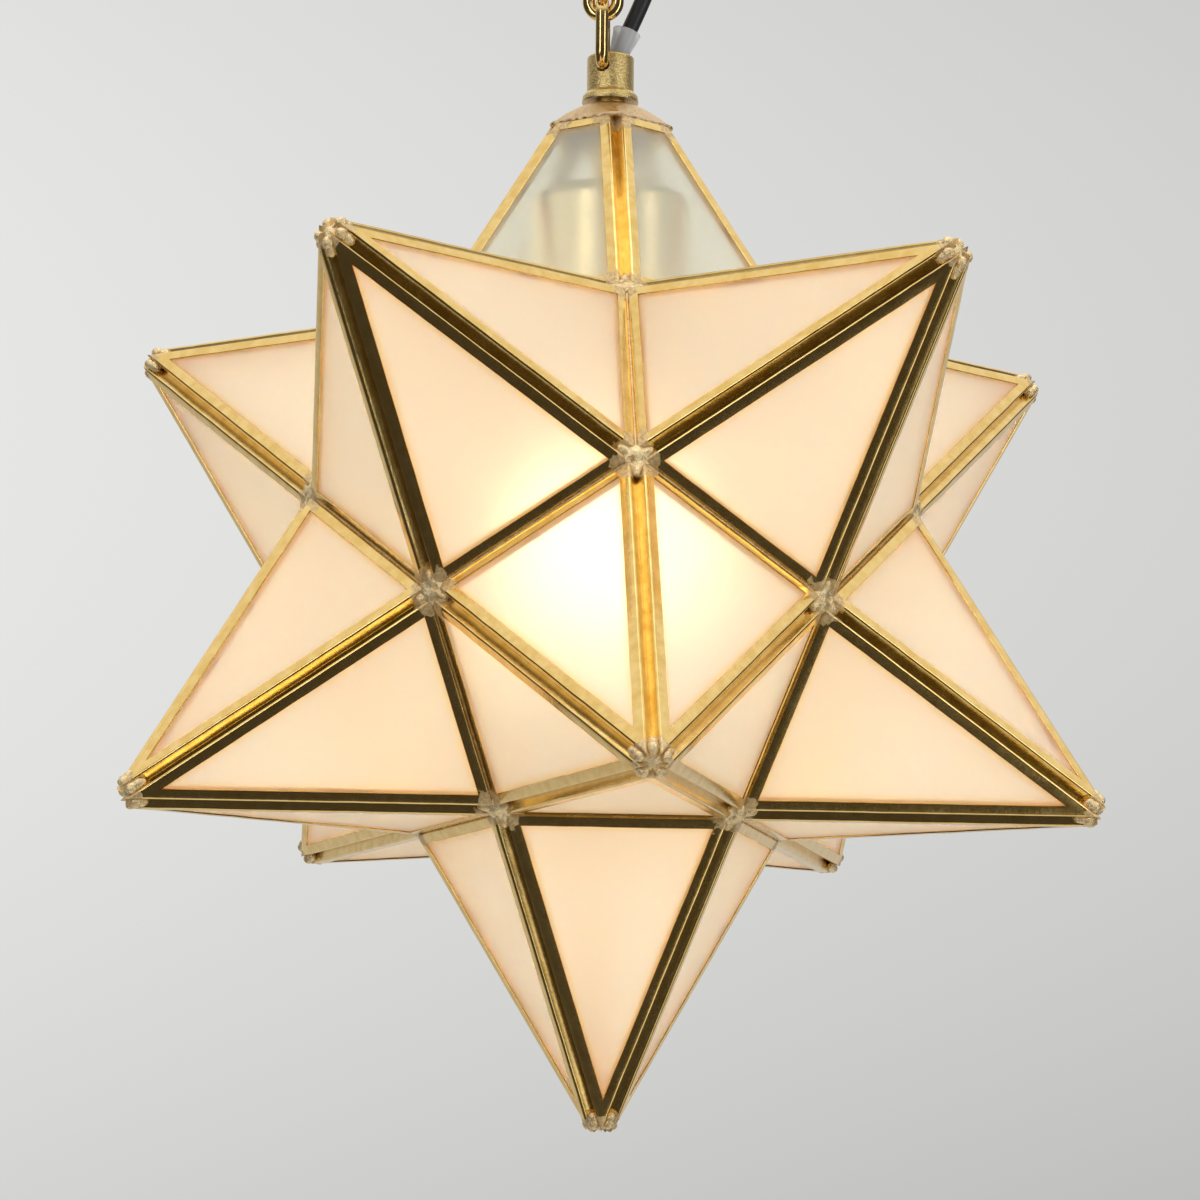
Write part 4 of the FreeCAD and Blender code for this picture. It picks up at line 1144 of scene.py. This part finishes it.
# ------------------------------------------------------------ ceiling canopy
def make_canopy():
    radius, high, sheet, shoulder = 55.0, CANOPY_HIGH, 0.9, 17.0
    outline = [(5.05, -high), (12.0, -high)]
    outline += rounded((5.05, -high), (radius, -high), (radius, 0.0), shoulder, 20)
    outline += [(radius, -0.25), (radius - 0.25, 0.0), (radius - sheet + 0.2, 0.0),
                (radius - sheet, -0.2)]
    outline += rounded((radius - sheet, 0.0), (radius - sheet, sheet - high),
                       (5.05, sheet - high), shoulder - sheet, 20)
    outline += [(5.05, sheet - high)]
    canopy = lathed("canopy_dish", outline, Matrix(), 128)
    spot = route_point(*UPPER_ROUTE[-1]) / MM
    drilled(canopy, 5.0, 20.0, shift(spot.x, spot.y, -high))
    settled(canopy, CUP_BRASS, "canopy", "canopy")


make_canopy()


# ------------------------------------------------------------ finishes of the frame's own pieces
FINISHES = (
    (STEM_BRASS, ("canopy_loop", "nipple", "locknuts", "canopy_nipple", "canopy_locknuts")),
    (CHANNEL_BRASS, ("hinge_leaf_star", "hinge_leaf_door", "hinge_pin")),
    (CUP_BRASS, ("lampholder_shell", "lampholder_contact", "bulb_base")),
    (STEEL, ("ceiling_bar", "bulb_eyelet")),
    (PORCELAIN, ("lampholder",)),
    (VITRITE, ("bulb_insulator",)),
    (CABLE_JACKET, ("cable_tail",)),
    (BUSH_RUBBER, ("cable_bush",)),
    (CLEAR_GLASS, ("bulb_mount",)),
    (FILAMENT, ("bulb_filaments",)),
)


def finish_nodes():
    for material, names in FINISHES:
        for name in names:
            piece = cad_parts[name]
            if not piece.data.materials:
                piece.data.materials.append(material)
            for entry in piece.material_slots:
                entry.material = material


finish_nodes()


# ------------------------------------------------------------ studio
CAMERA_YAW, CAMERA_PITCH, CAMERA_ROLL = 4.881, -9.463, 0.566
CAMERA_OFFSET = Vector((0.0246, 15.735, 0.0947)) * STAR_EDGE


# What the metal mirrors: colours by height and side, and two reflectors, each with its
# direction, the cosines where it starts and is full, and its colour.
FRONT_WALL = (0.060, 0.054, 0.046)
BACK_WALL = (0.62, 0.61, 0.59)
CEILING = (0.98, 0.96, 0.93)
GROUND = (0.80, 0.79, 0.77)
REFLECTORS = (((0.5, -0.5, -0.707), 0.960, 0.985, (1.45, 1.40, 1.30)),
              ((-0.683, -0.683, -0.259), 0.972, 0.990, (1.0, 0.98, 0.94)))
EVEN_LIGHT = (0.62, 0.62, 0.62)
PLAIN_GREY = (0.503, 0.503, 0.492)
STAR_MIDDLE = STAR.translation * MM
LAMPS = (("left_softbox", (-0.95, -1.35, 0.05), (0.32, 1.2), 4.0),
         ("right_softbox", (1.30, -1.02, -0.25), (0.40, 1.6), 6.0),
         ("top_softbox", (0.1, -0.1, 1.3), (1.2, 1.0), 4.0))


def camera_axes():
    return (turn("Y", CAMERA_ROLL) @ turn("X", CAMERA_PITCH) @ turn("Z", CAMERA_YAW)).to_3x3()


def make_camera():
    axes = camera_axes()
    camera = in_scene("camera", bpy.data.cameras.new("camera"))
    spot = (STAR.translation - axes.transposed() @ CAMERA_OFFSET) * MM
    columns = Matrix((axes[0], axes[2], -axes[1])).transposed().to_4x4()
    camera.matrix_world = Matrix.Translation(spot) @ columns
    camera.data.sensor_width = 36.0
    camera.data.lens = 108.39
    camera.data.clip_start = 0.01
    camera.data.clip_end = 50.0
    bpy.context.scene.camera = camera


def make_world():
    """Backdrop seen by the camera and through glass, with painted light falling on it, studio seen
    by the metal, even light.
    """
    world = bpy.data.worlds.new("studio")
    bpy.context.scene.world = world
    world.use_nodes = True
    tree = world.node_tree
    way = add(tree, "ShaderNodeTexCoord").outputs["Generated"]
    axes = camera_axes()

    def along(direction):
        return computed_vector(tree, "DOT_PRODUCT", "Value", way, direction)

    aside, high_in_view = along(tuple(axes[0])), along(tuple(axes[2]))
    # Painted light on the backdrop: lightest a little above the middle of the view and to the
    # left, darker towards the top, the bottom and the right.
    painted_light_fall = computed(tree, "MULTIPLY_ADD", high_in_view, -3.05, 0.30)
    level = computed(tree, "MULTIPLY_ADD", painted_light_fall, high_in_view, 0.714)
    level = computed(tree, "MULTIPLY_ADD", aside, -0.42, level)
    seen = ramp(tree, level, ((0.0, (0.0, 0.0, 0.0)), (0.5, PLAIN_GREY),
                              (1.0, (1.0, 1.0, 0.985))))
    flat = computed_vector(tree, "MULTIPLY", "Vector", way, (1.0, 1.0, 0.0))
    flat = computed_vector(tree, "NORMALIZE", "Vector", flat)
    behind = computed_vector(tree, "DOT_PRODUCT", "Value", flat, (0.0, 1.0, 0.0))
    upward = along((0.0, 0.0, 1.0))
    shine = mixed(tree, mapped(tree, behind, 0.55, 0.80), FRONT_WALL, BACK_WALL)
    shine = mixed(tree, mapped(tree, upward, 0.32, 0.58), shine, CEILING)
    shine = mixed(tree, mapped(tree, upward, -0.86, -0.92), shine, GROUND)
    for direction, edge, full, colour in REFLECTORS:
        shine = mixed(tree, mapped(tree, along(direction), edge, full), shine, colour)
    paths = add(tree, "ShaderNodeLightPath").outputs
    plain = computed(tree, "MAXIMUM", paths["Is Camera Ray"], paths["Is Transmission Ray"])
    soft = mixed(tree, paths["Is Glossy Ray"], EVEN_LIGHT, shine)
    backdrop = tree.nodes["Background"]
    link(tree, mixed(tree, plain, soft, seen), backdrop.inputs["Color"])
    backdrop.inputs["Strength"].default_value = 1.0


def make_lamp(name, spot, size, power):
    light = bpy.data.lights.new(name, "AREA")
    light.shape = "RECTANGLE"
    light.size, light.size_y = size
    light.energy = power
    lamp = in_scene(name, light)
    lamp.location = spot
    lamp.rotation_euler = (STAR_MIDDLE - Vector(spot)).to_track_quat("-Z", "Y").to_euler()


def make_floor():
    mesh = bpy.data.meshes.new("floor")
    reach, level = 12.0, -1.2
    mesh.from_pydata([(-reach, -reach, level), (reach, -reach, level), (reach, reach, level),
                      (-reach, reach, level)], [], [(0, 1, 2, 3)])
    floor = in_scene("floor", mesh)
    material, tree, shader = new_material("studio_floor")
    shade = mixed(tree, mapped(tree, grain(tree, 2.0, 2.0), 0.3, 0.7),
                  (0.70, 0.70, 0.69), (0.68, 0.68, 0.67))
    link(tree, shade, shader.inputs["Base Color"])
    shader.inputs["Roughness"].default_value = 0.8
    mesh.materials.append(material)
    floor.visible_glossy = False


make_camera()
make_world()
make_floor()
for lamp_name, lamp_spot, lamp_size, lamp_power in LAMPS:
    make_lamp(lamp_name, lamp_spot, lamp_size, lamp_power)
bpy.context.scene.view_settings.view_transform = "Standard"
